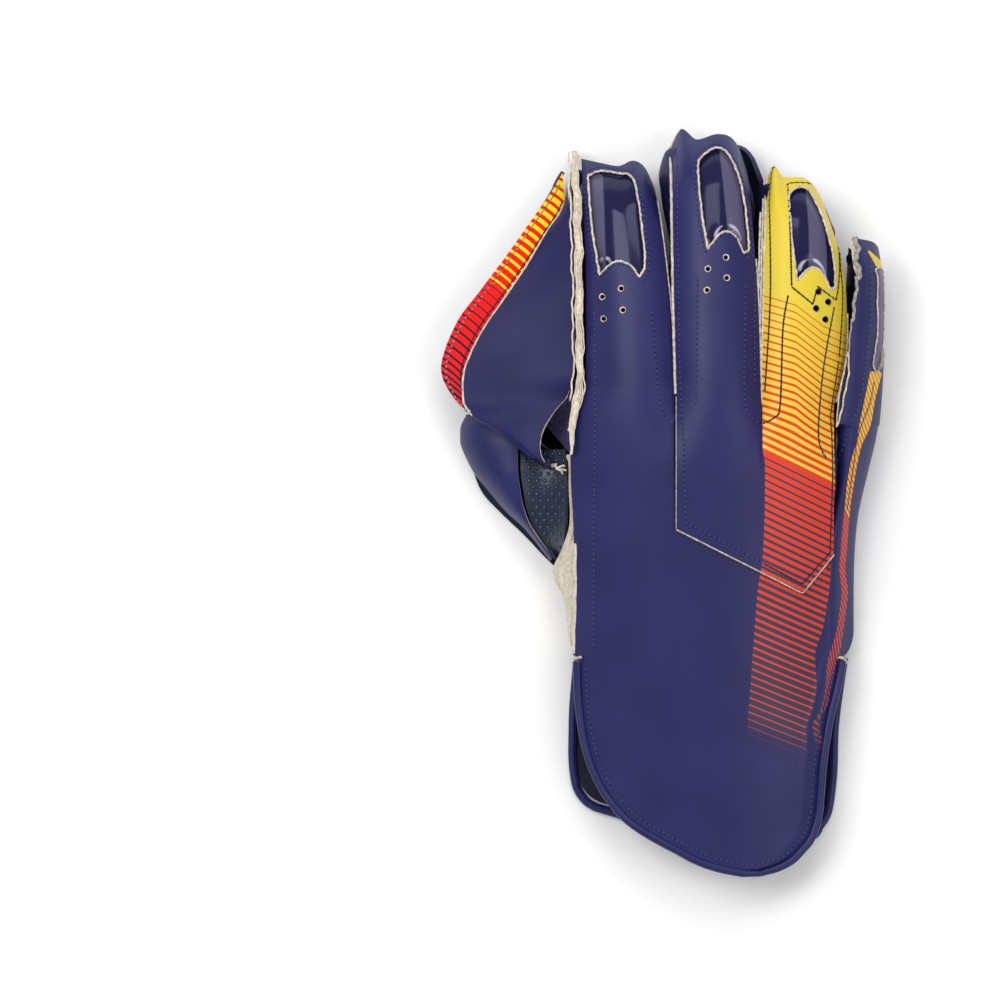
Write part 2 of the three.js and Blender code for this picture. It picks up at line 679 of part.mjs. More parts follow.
// Glossy caps under the fingertip windows
function capSheet(name, grow) {
  const spread = (2 * grow) / handDepth;
  const across = [-0.1 - spread, 0.15, 0.5, 0.85, 1.06 + spread];
  const along = [-0.08 - spread, 0.15, 0.4, 0.65, 0.85, 1.03 + spread];
  const raise = overlayNames.includes(name) ? leatherWall + lapGap : 0;
  return sheet(across.length, along.length, (i, j) => {
    const point = windowPoint(name, across[i], along[j]);
    point.z += raise - leatherWall - 2 * seamGap;
    return point;
  }, capWall, 1, () => true, grow);
}
const backAbove = { index: mainSheet(seamGap), little: mainSheet(seamGap) };
overlayNames.forEach((name) => {
  backAbove[name] = overlaySheet(seamGap);
});
Object.keys(windowPlaces).forEach((name) => {
  const cap = trimmed(toSolid(capSheet(name, 0)), backAbove[name]);
  addPiece(`cap_${name}`, toGeometry(cap), leather(capNavy, 0.12));
});

// Palm of dimpled rubber
const palmAcross = {
  index: [0, 0.2, 0.4, 0.6, 0.8, 1],
  middle: [0, 0.25, 0.5, 0.75, 1],
  ring: [0, 0.25, 0.5, 0.75, 1],
  little: [0, 0.5, 1],
};
const palmColumns = Object.keys(palmAcross)
  .flatMap((name) => palmAcross[name].map((across) => ({ name, across })));
const palmAlong = [0.2, 0.4, 0.6, 0.8, 0.92, 1];
const palmHand = [0, 0.08, 0.18, 0.3, 0.42, 0.52, 0.6, 0.7, 0.82, 1];

function palmSheetPoint(i, j) {
  const { name, across } = palmColumns[i];
  if (j >= palmHand.length) return palmPoint(name, across, palmAlong[j - palmHand.length]);
  const root = palmPoint(name, across, 0);
  const y = THREE.MathUtils.lerp(0, root.y, palmHand[j]);
  const left = profile(palmLeft, "at", "left", y / handLength) * handWidth;
  const right = profile(backOutline, "at", "right", station(y)) * handWidth - 0.45 * sideRoll;
  const rootLeft = palmPoint("index", 0, 0).x;
  const rootRight = palmPoint("little", 1, 0).x;
  const share = (root.x - rootLeft) / (rootRight - rootLeft);
  const x = THREE.MathUtils.lerp(left, right, share);
  return new THREE.Vector3(x, y, palmUnder(y));
}

const palmHas = (i, j) => j < palmHand.length - 1 || palmColumns[i].name === palmColumns[i + 1].name;
const palmSheet = (grow) => sheet(palmColumns.length, palmHand.length + palmAlong.length,
  palmSheetPoint, rubberWall, -1, palmHas, grow);
addPiece("palm_face", palmSheet(0), leather(rubberNavy, 0.7));

// Side walls of the fingers, inside the raw edges of back and palm: up one side,
// across the tip and down the other side
const wallAlong = [0.06, 0.2, 0.36, 0.52, 0.68, 0.8, 0.9];
const wallTip = 0.955;
const littleTip = 0.92;

function wallPath(name) {
  const inset = rawEdge / (0.32 * handWidth);
  const raise = overlayNames.includes(name) ? leatherWall + lapGap : 0;
  const sides = [
    ...wallAlong.map((along) => [inset, along]),
    ...[0.25, 0.5, 0.75].map((across) => [across, wallTip]),
    ...[...wallAlong].reverse().map((along) => [1 - inset, along]),
  ];
  return sides.map(([across, along]) => {
    const top = backPoint(name, across, along);
    top.z += raise - leatherWall / 2;
    return { across, top };
  });
}

function littleWallPath() {
  const left = wallAlong.map((along) => {
    const top = littlePoint(0, along);
    top.add(new THREE.Vector3(rawEdge * 0.6, 0, -leatherWall));
    return { across: 0.1, top };
  });
  const tip = [15, 40, 65, 85].map((turn, k) => {
    const top = littlePoint(turn, littleTip);
    top.add(new THREE.Vector3(-leatherWall * 1.4, 0, -leatherWall * 1.4));
    return { across: 0.25 + 0.2 * k, top };
  });
  return [...left, ...tip];
}

function fingerWall(name, path) {
  const finger = fingers[name];
  const start = finger.palmRoot * handLength;
  const end = finger.root * handLength + finger.length;
  const geometry = sheet(path.length, 2, (i, j) => {
    const { across, top } = path[i];
    if (j === 1) return top;
    const onPalm = THREE.MathUtils.clamp((top.y - start) / (end - start), 0.03, 0.94);
    const low = palmPoint(name, across, onPalm);
    low.z += rubberWall;
    return low;
  }, wallLeather, -1);
  const around = [backAbove[name], toSolid(palmSheet(seamGap))];
  if (windowPlaces[name]) around.push(toSolid(capSheet(name, seamGap)));
  addPiece(`wall_${name}`, toGeometry(trimmed(toSolid(geometry), ...around)), leather(navy, 0.5));
}

["index", "middle", "ring"].forEach((name) => fingerWall(name, wallPath(name)));
fingerWall("little", littleWallPath());

// Thumb: rubber face, leather back and the mesh panel towards the hand
const thumbX = (share) => -thumbRoot * handWidth - share * thumbReach;
const thumbAcross = [0, 0.2, 0.4, 0.6, 0.8, 1];

addPiece("thumb_face", sheet(thumbAcross.length, thumbFaceRows.length, (i, j) => {
  const row = thumbFaceRows[j];
  const x = THREE.MathUtils.lerp(thumbX(row.leftX), thumbX(row.rightX), thumbAcross[i]);
  const y = THREE.MathUtils.lerp(row.leftY, row.rightY, thumbAcross[i]) * handLength;
  return new THREE.Vector3(x, y, 0);
}, rubberWall, -1), leather(rubberNavy, 0.7));

addPiece("thumb_back", sheet(7, thumbBackRows.length, (i, j) => {
  const row = thumbBackRows[j];
  const angle = THREE.MathUtils.degToRad(i * 15);
  const base = rubberWall + seamGap;
  const out = new THREE.Vector3(thumbX(row.outX), row.outY * handLength, base);
  const ridge = new THREE.Vector3(thumbX(row.ridgeX), row.ridgeY * handLength, row.top * thumbDepth);
  const share = 1 - Math.cos(angle);
  return new THREE.Vector3(THREE.MathUtils.lerp(out.x, ridge.x, share),
    THREE.MathUtils.lerp(out.y, ridge.y, share), base + (ridge.z - base) * Math.sin(angle));
}, leatherWall), leather(navy, 0.5));

addPiece("mesh_panel", sheet(5, meshRows.length, (i, j) => {
  const row = meshRows[j];
  const share = i / 4;
  const sag = meshSag * Math.sin(Math.PI * share);
  return new THREE.Vector3(THREE.MathUtils.lerp(thumbX(row.outX), thumbX(row.inX), share),
    THREE.MathUtils.lerp(row.outY, row.inY, share) * handLength,
    THREE.MathUtils.lerp(row.outTop, row.inTop, share) * thumbDepth - sag);
}, wallLeather), leather(meshDark, 0.35));

addPiece("gusset_thumb_side", sheet(5, gussetRows.length, (i, j) => {
  const row = gussetRows[gussetRows.length - 1 - j];
  const y = row.topY * handLength;
  const edge = profile(backOutline, "at", "left", row.topY) * handWidth + 1;
  const top = new THREE.Vector3(edge, y, backHeight(edge, y) - leatherWall * 1.5 - seamGap);
  const belly = new THREE.Vector3(thumbX(row.bellyX), y, row.bellyTop * thumbDepth);
  const low = new THREE.Vector3(thumbX(row.lowX), row.lowY * handLength, row.lowTop * thumbDepth);
  const share = 1 - i / 4;
  return new THREE.Vector3()
    .addScaledVector(top, (1 - share) * (1 - 2 * share))
    .addScaledVector(belly, 4 * share * (1 - share))
    .addScaledVector(low, share * (2 * share - 1));
}, wallLeather), leather(cream, 0.8));

// Crotch wall: pale chamois below, dark lining above
function crotchPoint(row, share) {
  const low = new THREE.Vector3(row.lowX * handWidth, row.lowY * handLength, rubberWall + 3 * seamGap);
  const top = new THREE.Vector3(row.topX * handWidth, row.topY * handLength, row.top * thumbDepth);
  return low.lerp(top, share);
}
addPiece("crotch_chamois", sheet(crotchRows.length, 2, (i, j) => crotchPoint(crotchRows[i], j * chamoisShare),
  wallLeather), leather(cream, 0.8));
addPiece("crotch_lining", sheet(crotchRows.length, 2,
  (i, j) => crotchPoint(crotchRows[i], chamoisShare + 0.03 + j * chamoisShare), wallLeather), leather(liningBlack, 0.9));

// Web: leather outside, rubber inside and a printed trim along the outer edge
const webX = (share) => fingerEdges.index[0].left * handWidth - 0.6 - share * webReach;
const webY = (share) => webStart * handLength + share * webHeight;

function webInnerTop(y, row) {
  const along = (y - fingers.index.root * handLength) / indexLength;
  const edge = backPoint("index", 0, Math.max(along, -0.05)).z - webUnderFinger;
  return THREE.MathUtils.lerp(row.top * thumbDepth, edge, THREE.MathUtils.smoothstep(row.inY, 0.15, 0.3));
}

function webPoint(row, share) {
  const innerY = webY(row.inY);
  const inner = new THREE.Vector3(webX(row.inX), innerY, webInnerTop(innerY, row));
  const line = new THREE.Vector3(webX(row.lineX), webY(row.lineY), row.top * thumbDepth);
  return inner.lerp(line, share);
}

addPiece("web_outer", sheet(7, webRows.length, (i, j) => webPoint(webRows[j], 1 - i / 6), webWall),
  leather(navy, 0.5));

const trimRows = webRows.filter((row) => row.outX !== undefined);
addPiece("web_trim", sheet(3, trimRows.length, (i, j) => {
  const row = trimRows[j];
  const line = webPoint(row, 1);
  const out = new THREE.Vector3(webX(row.outX), webY(row.outY), row.top * thumbDepth - trimDrop);
  const inward = line.clone().sub(out).setZ(0).normalize().multiplyScalar(trimWidthLap);
  const start = line.clone().add(inward);
  start.z -= webWall + lapGap;
  const end = out.clone();
  end.z -= webWall;
  return end.lerp(start, i / 2);
}, webWall), leather(printRed, 0.5));

addPiece("web_rubber", sheet(7, webRows.length, (i, j) => {
  const row = webRows[j];
  const hasTrim = row.outX !== undefined;
  const drop = 2 * webWall + lapGap + seamGap + 0.6;
  const inner = webPoint(row, 0);
  const lift = THREE.MathUtils.smoothstep(row.inY, 0.15, 0.34);
  inner.x -= webRubberReach * lift;
  const onPalm = palmUnder(inner.y) + rubberWall + webWall + 2 * seamGap;
  inner.z = THREE.MathUtils.lerp(inner.z - drop, onPalm, lift);
  const end = hasTrim
    ? new THREE.Vector3(webX(row.outX) + 1, webY(row.outY), row.top * thumbDepth - trimDrop - drop)
    : webPoint(row, 1).add(new THREE.Vector3(0, 0, -drop));
  return end.lerp(inner, i / 6);
}, webWall), leather(rubberNavy, 0.7));

// Thick pale welt along the index finger's thumb side
const weltRows = [
  { x: -0.53, y: 0.8, wide: 0.55 },
  { x: -0.53, y: 0.85, wide: 0.7 },
  { x: -0.515, y: 0.93, wide: 1 },
  { x: -0.478, y: 1.01, wide: 1.15 },
  { x: -0.472, y: 1.12, wide: 0.9 },
  { x: -0.474, y: 1.25, wide: 1 },
  { x: -0.476, y: 1.4, wide: 0.85 },
  { x: -0.478, y: 1.56, wide: 1 },
  { x: -0.482, y: 1.72, wide: 0.95 },
  { x: -0.488, y: 1.84, wide: 0.9 },
  { x: -0.492, y: 1.885, wide: 0.8 },
];
const weltSteps = 26;
addPiece("index_welt", sheet(2, weltSteps, (i, j) => {
  const y = THREE.MathUtils.lerp(weltRows[0].y, weltRows[weltRows.length - 1].y, j / (weltSteps - 1));
  const half = (profile(weltRows, "y", "wide", y) * weltWide) / 2;
  const x = profile(weltRows, "y", "x", y) * handWidth;
  const along = (y * handLength - fingers.index.root * handLength) / indexLength;
  const edge = backPoint("index", 0, Math.max(along, -0.1)).z;
  return new THREE.Vector3(x - lapGap + (i === 0 ? -half : half), y * handLength, edge + weltThick / 2);
}, weltThick), leather(cream, 0.85));

// Palm side of the cuff, flat on the table, and the rolled edges of both cuffs
const palmCuffAcross = [0, 0.08, 0.2, 0.35, 0.5, 0.65, 0.8, 0.92, 1];
const palmCuffRows = [-1, -0.985, -0.95, -0.9, -0.83, -0.72, -0.55, -0.3, 0];
addPiece("cuff_palm", sheet(palmCuffAcross.length, palmCuffRows.length, (i, j) => {
  const at = palmCuffRows[j];
  const left = profile(palmCuffOutline, "at", "left", at) * handWidth + pipingSeat;
  const right = profile(palmCuffOutline, "at", "right", at) * handWidth - pipingSeat;
  return new THREE.Vector3(THREE.MathUtils.lerp(left, right, palmCuffAcross[i]),
    at * (palmCuffLength - pipingSeat) - seamGap, 0);
}, leatherWall, -1), leather(navy, 0.5));

function piping(points, steps) {
  const path = new THREE.CatmullRomCurve3(points);
  const section = new THREE.Shape();
  section.absarc(0, 0, pipingRadius, 0, 2 * Math.PI);
  return new THREE.ExtrudeGeometry(section, { steps, extrudePath: path, bevelEnabled: false, curveSegments: 4 });
}

// The back's rolled edge follows the main panel's own edge round the cuff
const cuffEdge = [];
for (let j = cuffRows.length; j >= 0; j -= 1) cuffEdge.push(mainPoint(0, j));
for (let j = 0; j <= cuffRows.length; j += 1) cuffEdge.push(mainPoint(mainColumns - 1, j));
addPiece("cuff_back_piping", piping(cuffEdge.map((point, k) => {
  const before = cuffEdge[Math.max(k - 1, 0)];
  const after = cuffEdge[Math.min(k + 1, cuffEdge.length - 1)];
  const away = new THREE.Vector3(after.y - before.y, before.x - after.x, 0).setLength(pipingSeat - pipingRadius);
  return point.clone().add(away).setZ(point.z - leatherWall / 2);
}), 56), leather(navy, 0.4));

// The palm side's rolled edge lies round its own outline
const palmRim = [];
palmCuffOutline.forEach((row) => palmRim.push([row.left, row.at, -1]));
[...palmCuffOutline].reverse().forEach((row) => palmRim.push([row.right, row.at, 1]));
addPiece("cuff_palm_piping", piping(palmRim.map(([share, at, side]) => {
  const flat = THREE.MathUtils.smoothstep(-at, 0.86, 1);
  return new THREE.Vector3(share * handWidth - side * pipingRadius * (1 - flat),
    at * (palmCuffLength - pipingRadius) - 3 * seamGap, pipingRadius);
}), 52), leather(navy, 0.4));

// Set the glove down with the middle of its box at the origin
const box = new THREE.Box3().setFromObject(glove);
glove.position.set(-(box.min.x + box.max.x) / 2, -(box.min.y + box.max.y) / 2, -box.min.z);
glove.updateMatrixWorld(true);

export default glove;
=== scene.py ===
# A right-hand wicketkeeping glove, laid palm down and seen from its back.
# The sections follow the glove as it is sewn together, from the back panel to
# the cuff's piping. Lengths in the tables are millimetres unless a comment says
# otherwise; X = 0 is the middle of the hand and Y = 0 the wrist seam.
import math
import random
import bpy
from mathutils import Matrix, Vector


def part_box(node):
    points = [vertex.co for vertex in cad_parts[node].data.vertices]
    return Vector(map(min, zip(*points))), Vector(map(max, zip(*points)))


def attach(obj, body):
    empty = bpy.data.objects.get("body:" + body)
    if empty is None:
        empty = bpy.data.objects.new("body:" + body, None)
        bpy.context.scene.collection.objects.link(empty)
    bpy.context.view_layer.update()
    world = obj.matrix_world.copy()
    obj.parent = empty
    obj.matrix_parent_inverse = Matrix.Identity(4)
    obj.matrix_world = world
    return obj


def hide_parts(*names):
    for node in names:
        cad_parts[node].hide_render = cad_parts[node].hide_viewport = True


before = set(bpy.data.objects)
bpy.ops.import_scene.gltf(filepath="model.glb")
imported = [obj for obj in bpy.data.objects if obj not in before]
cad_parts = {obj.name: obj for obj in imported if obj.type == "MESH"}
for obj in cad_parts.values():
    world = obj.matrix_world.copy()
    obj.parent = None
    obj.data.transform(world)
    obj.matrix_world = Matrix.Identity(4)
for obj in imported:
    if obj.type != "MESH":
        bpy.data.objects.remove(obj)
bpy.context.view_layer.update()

# Camera, floor and light: the glove lies on a pale sheet and is photographed
# from straight above with a long lens, in even studio light from two soft
# boxes and a bright room.
MM = 0.001
THUMB_OUT = 101.49
WRIST_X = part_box("thumb_face")[0].x + THUMB_OUT * MM
WRIST_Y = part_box("palm_face")[0].y
VIEW_MIDDLE = (WRIST_X - 87.7 * MM, WRIST_Y + 66.65 * MM)
VIEW_WIDTH = 0.43
VIEW_HEIGHT = 4.0
SENSOR = 36
camera_data = bpy.data.cameras.new("camera")
camera_data.sensor_width = SENSOR
camera_data.lens = SENSOR * (VIEW_HEIGHT - 0.035) / VIEW_WIDTH
camera_data.clip_end = 20
camera = bpy.data.objects.new("camera", camera_data)
camera.location = (VIEW_MIDDLE[0], VIEW_MIDDLE[1], VIEW_HEIGHT)
bpy.context.collection.objects.link(camera)
bpy.context.scene.camera = camera
bpy.context.scene.view_settings.view_transform = "Standard"

# name, place in metres, turn in degrees, side in metres, watts
SOFT_BOXES = [
    ("key_left", (-0.9, 0.5, 1.5), (0, -33, -25), 0.9, 15),
    ("fill_right", (1.0, -0.3, 1.4), (0, 36, -15), 1.1, 7),
    ("top_strip", (0.05, 0.9, 1.2), (-38, 0, 0), 0.7, 6),
]
for lamp_name, place_m, turn, side, watts in SOFT_BOXES:
    lamp_data = bpy.data.lights.new(lamp_name, "AREA")
    lamp_data.size = side
    lamp_data.energy = watts
    lamp = bpy.data.objects.new(lamp_name, lamp_data)
    lamp.location = place_m
    lamp.rotation_euler = [math.radians(angle) for angle in turn]
    bpy.context.collection.objects.link(lamp)
room = bpy.data.worlds.new("room")
room.use_nodes = True
room.node_tree.nodes["Background"].inputs["Color"].default_value = (1, 1, 1, 1)
room.node_tree.nodes["Background"].inputs["Strength"].default_value = 0.49
bpy.context.scene.world = room

bpy.ops.object.select_all(action="DESELECT")
bpy.ops.mesh.primitive_plane_add(size=6, location=(0, 0, -0.0006))
floor = bpy.context.object
floor.name = "floor"
bpy.ops.object.transform_apply(location=True)
floor_paint = bpy.data.materials.new("pale_floor")
floor_paint.use_nodes = True
floor_shader = floor_paint.node_tree.nodes["Principled BSDF"]
floor_shader.inputs["Base Color"].default_value = (0.95, 0.95, 0.95, 1)
floor_shader.inputs["Roughness"].default_value = 0.9
floor.data.materials.append(floor_paint)

# Back panel: one piece of coated navy leather over the index finger, the hand,
# the little finger's side and the back of the cuff. It is cut flat, pressed
# over a form, and sewn to the palm round its edge. Its cut edges are pale.
HAND_WIDTH = 112
HAND_LENGTH = 112
CUFF_LENGTH = 96
HAND_DEPTH = 54
THUMB_DEPTH = 26
TIP_DEPTH = 12
FINGER_CROWN = 8
TIP_FALL = 17
SIDE_ROLL = 11
HIDDEN_DIP = 4
LEATHER_WALL = 1.8
RUBBER_WALL = 3
FABRIC_WALL = 1.4
SEAM_GAP = 0.6
PIPING_RADIUS = 1.9
LAP_GAP = 0.6
PIPING_SEAT = 1.8 * PIPING_RADIUS

# root and palm root are shares of the hand's length, length is in millimetres
FINGERS = {
    "index": {"root": 1.03, "palm_root": 1.34, "length": 99, "curl": 1},
    "middle": {"root": 1.0, "palm_root": 1.4, "length": 115, "curl": 1},
    "ring": {"root": 0.955, "palm_root": 1.42, "length": 104, "curl": 1},
    "little": {"root": 0.875, "palm_root": 1.2, "length": 82, "curl": 0.15},
}
# along, left, right: shares of the finger's length and the hand's width
FINGER_EDGES = {
    "index": [(0, -0.453, -0.114), (0.4, -0.452, -0.13), (0.7, -0.459, -0.155), (1, -0.469, -0.186)],
    "middle": [(0, -0.108, 0.215), (0.4, -0.117, 0.206), (0.75, -0.121, 0.186), (1, -0.123, 0.168)],
    "ring": [
        (0, 0.22, 0.499), (0.15, 0.22, 0.528), (0.4, 0.226, 0.549), (0.7, 0.232, 0.54), (1, 0.242, 0.49),
    ],
    "little": [
        (0, 0.512, 0.681), (0.2, 0.545, 0.692), (0.5, 0.566, 0.698), (0.8, 0.588, 0.697), (1, 0.58, 0.68),
    ],
}
# across, back: share of the finger's width, share of the tip's depth
FINGER_TIPS = {
    "index": [(0, 0), (0.3, 0.2), (0.5, 0.3), (0.7, 0.1), (0.88, 0.4), (1, 1.1)],
    "middle": [(0, 0.6), (0.14, 0), (0.34, 0.4), (0.62, 0.2), (0.88, 0.6), (1, 1.5)],
    "ring": [(0, 0.63), (0.12, 0), (0.28, 0.42), (0.5, 0.42), (0.8, 0.9), (1, 2)],
    "little": [(0, 0), (0.3, 0.15), (0.6, 0.5), (1, 1.1)],
}
# at, left, right: -1 is the cuff's end, 0 the wrist seam, 1 the knuckles
BACK_OUTLINE = [
    (-1, 0.12, 0.25), (-0.98, 0.035, 0.326), (-0.885, -0.142, 0.445), (-0.775, -0.296, 0.488),
    (-0.667, -0.38, 0.499), (-0.524, -0.445, 0.508), (-0.327, -0.486, 0.532), (0, -0.503, 0.585),
    (0.25, -0.497, 0.584), (0.52, -0.502, 0.598), (0.7, -0.512, 0.637), (0.83, -0.51, 0.668),
    (0.96, -0.48, 0.687), (1.03, -0.453, 0.692),
]
# at, height of the middle line, fall to the sides: shares of the hand's depth
BACK_ARCH = [
    (-1, 0.46, 0.2), (-0.5, 0.6, 0.28), (0, 0.76, 0.4), (0.5, 0.91, 0.34),
    (1, 1, 0.24), (1.4, 0.93, 0.17), (1.75, 0.8, 0.13), (2, 0.66, 0.11),
]
HIDDEN_REACH = 0.62
INDEX_PART = 0.3
ROLL_PART = 0.2
CUFF_TURN = 0.3
ROLL_END = 150


def place(x, y, z):
    return Vector((WRIST_X + x * MM, WRIST_Y + y * MM, z * MM))


def mix(a, b, share):
    return a + (b - a) * share


def ease(low, high, value):
    share = min(1, max(0, (value - low) / (high - low)))
    return share * share * (3 - 2 * share)


def read(rows, column, value):
    """A smooth curve through one column of a table whose first column rises."""
    last = len(rows) - 1
    at = min(rows[last][0], max(rows[0][0], value))
    k = 0
    while k < last - 1 and at > rows[k + 1][0]:
        k += 1
    slopes = [
        (rows[n + 1][column] - rows[n][column]) / (rows[n + 1][0] - rows[n][0])
        for n in (max(k - 1, 0), k, min(k + 1, last - 1))
    ]
    span = rows[k + 1][0] - rows[k][0]
    t = (at - rows[k][0]) / span
    start = (slopes[0] + slopes[1]) / 2 if slopes[0] * slopes[1] > 0 else 0
    end = (slopes[1] + slopes[2]) / 2 if slopes[1] * slopes[2] > 0 else 0
    start = slopes[1] if k == 0 else start
    end = slopes[1] if k == last - 1 else end
    return (
        rows[k][column] * (1 + 2 * t) * (1 - t) ** 2 + rows[k + 1][column] * t * t * (3 - 2 * t)
        + start * span * t * (1 - t) ** 2 - end * span * t * t * (1 - t)
    )


def read_straight(rows, column, value):
    """Straight lines through one column of a table whose first column rises."""
    k = 0
    while k < len(rows) - 2 and value > rows[k + 1][0]:
        k += 1
    return mix(rows[k][column], rows[k + 1][column], (value - rows[k][0]) / (rows[k + 1][0] - rows[k][0]))


def station(y):
    if y < 0:
        return y / CUFF_LENGTH
    if y < HAND_LENGTH:
        return y / HAND_LENGTH
    return 1 + (y - HAND_LENGTH) / FINGERS["middle"]["length"]


def back_height(x, y):
    side = abs(x) / (HAND_WIDTH / 2)
    at = station(y)
    return HAND_DEPTH * (read(BACK_ARCH, 1, at) - read(BACK_ARCH, 2, at) * side ** 2.4)


def crown_drop(across, along):
    return FINGER_CROWN * ease(-0.35, 0.1, along) * abs(2 * across - 1) ** 2.2


def finger_back(name, across, along):
    finger = FINGERS[name]
    reach = finger["length"]
    if along > 0:
        reach -= read(FINGER_TIPS[name], 1, across) * TIP_DEPTH
    y = finger["root"] * HAND_LENGTH + along * reach
    edges = FINGER_EDGES[name]
    x = mix(read(edges, 1, along), read(edges, 2, along), across) * HAND_WIDTH
    tip = TIP_FALL * max(0, (along - 0.78) / 0.22) ** 2
    return x, y, back_height(x, y) - crown_drop(across, along) - tip


def palm_under(y):
    at = station(y)
    return 5 * ease(0.75, 1.3, at) * (1 - ease(1.45, 1.8, at))


def low_side(y):
    return palm_under(y) + RUBBER_WALL + SEAM_GAP


def roll_point(turn, y, inner, outer, lowest):
    roll = min(SIDE_ROLL, outer - inner)
    start = outer - roll
    share = ease(0, 50, turn)
    x = mix(inner, start + roll * math.sin(math.radians(turn)), share)
    top = mix(back_height(inner, y), back_height(x, y), share)
    fall = (1 + math.cos(math.radians(turn))) / 2
    return x, y, mix(top, lowest + (top - lowest) * fall, share)


def little_side(turn, along):
    reach = FINGERS["little"]["length"] - read(FINGER_TIPS["little"], 1, turn / ROLL_END) * TIP_DEPTH
    y = FINGERS["little"]["root"] * HAND_LENGTH + along * reach
    edges = FINGER_EDGES["little"]
    inner, outer = (read(edges, column, along) * HAND_WIDTH for column in (1, 2))
    x, y, z = roll_point(turn, y, inner, outer, low_side(y))
    tip = TIP_FALL / 2 * max(0, (along - 0.8) / 0.2) ** 2
    return x, y, z - tip * math.cos(math.radians(turn / 2))


# Part of the panel that each column belongs to, and its place in that part
MAIN_COLUMNS = (
    [("index", i / 26) for i in range(27)]
    + [("hidden", i / 38) for i in range(1, 38)]
    + [("side", ROLL_END * i / 44) for i in range(45)]
)
CUFF_ROWS = 52
HAND_ROWS = 62
FINGER_ROWS = 64
MAIN_ROWS = CUFF_ROWS + HAND_ROWS + FINGER_ROWS + 1


def main_back(i, j):
    part, across = MAIN_COLUMNS[i]
    finger_along = max(0, j - CUFF_ROWS - HAND_ROWS) / FINGER_ROWS
    if finger_along > 0 and part == "side":
        return little_side(across, finger_along)
    if finger_along > 0:
        return finger_back("index", across, finger_along)
    in_cuff = j < CUFF_ROWS
    share = 0 if in_cuff else (j - CUFF_ROWS) / HAND_ROWS
    top = {"index": FINGERS["index"]["root"], "hidden": HIDDEN_REACH, "side": FINGERS["little"]["root"]}[part]
    at = (j / CUFF_ROWS) ** 1.5 - 1
    y = at * (CUFF_LENGTH - PIPING_SEAT) if in_cuff else share * top * HAND_LENGTH
    at = at if in_cuff else station(y)
    seat = PIPING_SEAT * ease(0, 0.02, -at)
    left = read(BACK_OUTLINE, 1, at) * HAND_WIDTH + seat
    right = read(BACK_OUTLINE, 2, at) * HAND_WIDTH - seat
    index_right = mix(left, right, INDEX_PART)
    index_right = mix(index_right, FINGER_EDGES["index"][0][2] * HAND_WIDTH, ease(0.2, 1, share))
    roll_inner = right - min(SIDE_ROLL, ROLL_PART * (right - left)) * 1.05
    if part == "index":
        x = mix(left, index_right, across)
        along = (y - FINGERS["index"]["root"] * HAND_LENGTH) / FINGERS["index"]["length"]
        return x, y, back_height(x, y) - crown_drop(across, along)
    if part == "hidden":
        x = mix(index_right, roll_inner, across)
        return x, y, back_height(x, y) - HIDDEN_DIP * ease(0.8, 1, share)
    turn = across * mix(CUFF_TURN, 1, min(1, share * 4))
    inner = mix(roll_inner, FINGER_EDGES["little"][0][1] * HAND_WIDTH, ease(0.5, 1, share))
    x, y, z = roll_point(turn, y, inner, right, low_side(y))
    along = (y - FINGERS["ring"]["root"] * HAND_LENGTH) / FINGERS["ring"]["length"]
    sink = (FINGER_CROWN + SEAM_GAP + 1) * ease(-0.8, -0.05, along)
    return x, y, z - sink * (1 - ease(0, 30, turn))


def main_has(i, j):
    part, next_part = MAIN_COLUMNS[i][0], MAIN_COLUMNS[i + 1][0]
    below_slits = j < CUFF_ROWS + HAND_ROWS
    return below_slits or part == next_part != "hidden"


# Printed bands: y, left edge, right edge, from the fingers down to the cuff
BAND_ONE = [
    (-37.8, 18.3, 44.7), (-31, 18.7, 44.2), (-25.8, 19, 46.2), (-20.6, 19.4, 47.7), (-12, 20.1, 48.8),
    (-0.4, 20.8, 48), (4, 21.2, 49), (10.3, 21.6, 51.2), (26.9, 22.8, 54), (41.3, 24.8, 55),
    (52, 25.4, 56), (66, 25.8, 56), (82, 25.8, 57), (89, 24.8, 57), (102, 24.8, 57),
]
BAND_TWO = [
    (-40.3, 49.3, 52.5), (-34, 47.5, 50.6), (-29.8, 46.9, 50.1), (-26, 49.5, 51.2), (-22, 51.2, 53.8),
    (-14.6, 52.7, 55), (-3, 53.6, 57.8), (3, 55.4, 59.6), (10.2, 57.5, 60.6), (20, 59, 62),
    (26.8, 59.8, 62.6), (37.3, 58.6, 61.3), (45, 59.2, 62), (57, 60.2, 62.8), (64, 60.9, 63.4),
    (72.5, 61.6, 64.6), (83.5, 63.4, 66.5), (91, 65.6, 68.4), (98, 66.8, 71.8), (109.7, 69.2, 74),
    (121, 71.5, 77),
]
STRIPE_PITCH = {"one": 3.15, "two": 2.72}
YELLOW_TIP = (167, 175.5)
OVERLAY_SLIT = 24.2


def band_one(x, y, on_overlay):
    left = read(BAND_ONE, 1, y) if y < 107 else OVERLAY_SLIT
    right = 200 if on_overlay else read(BAND_ONE, 2, y)
    across = x - 25
    steps = 0.3 * min(across, 14) + 0.75 * min(max(across - 14, 0), 12) + 0.4 * max(across - 26, 0)
    lean = mix(mix(0.4, 0.48, ease(-40, 60, y)) * across, steps, ease(85, 110, y))
    run = y + lean
    stripes_from, red_from, ends = 157, 88, -31
    level = (stripes_from - run) / (stripes_from - red_from)
    if run < red_from:
        level = 1 + (red_from - run) / (red_from - ends)
    return min(x - left, right - x), run / STRIPE_PITCH["one"], level


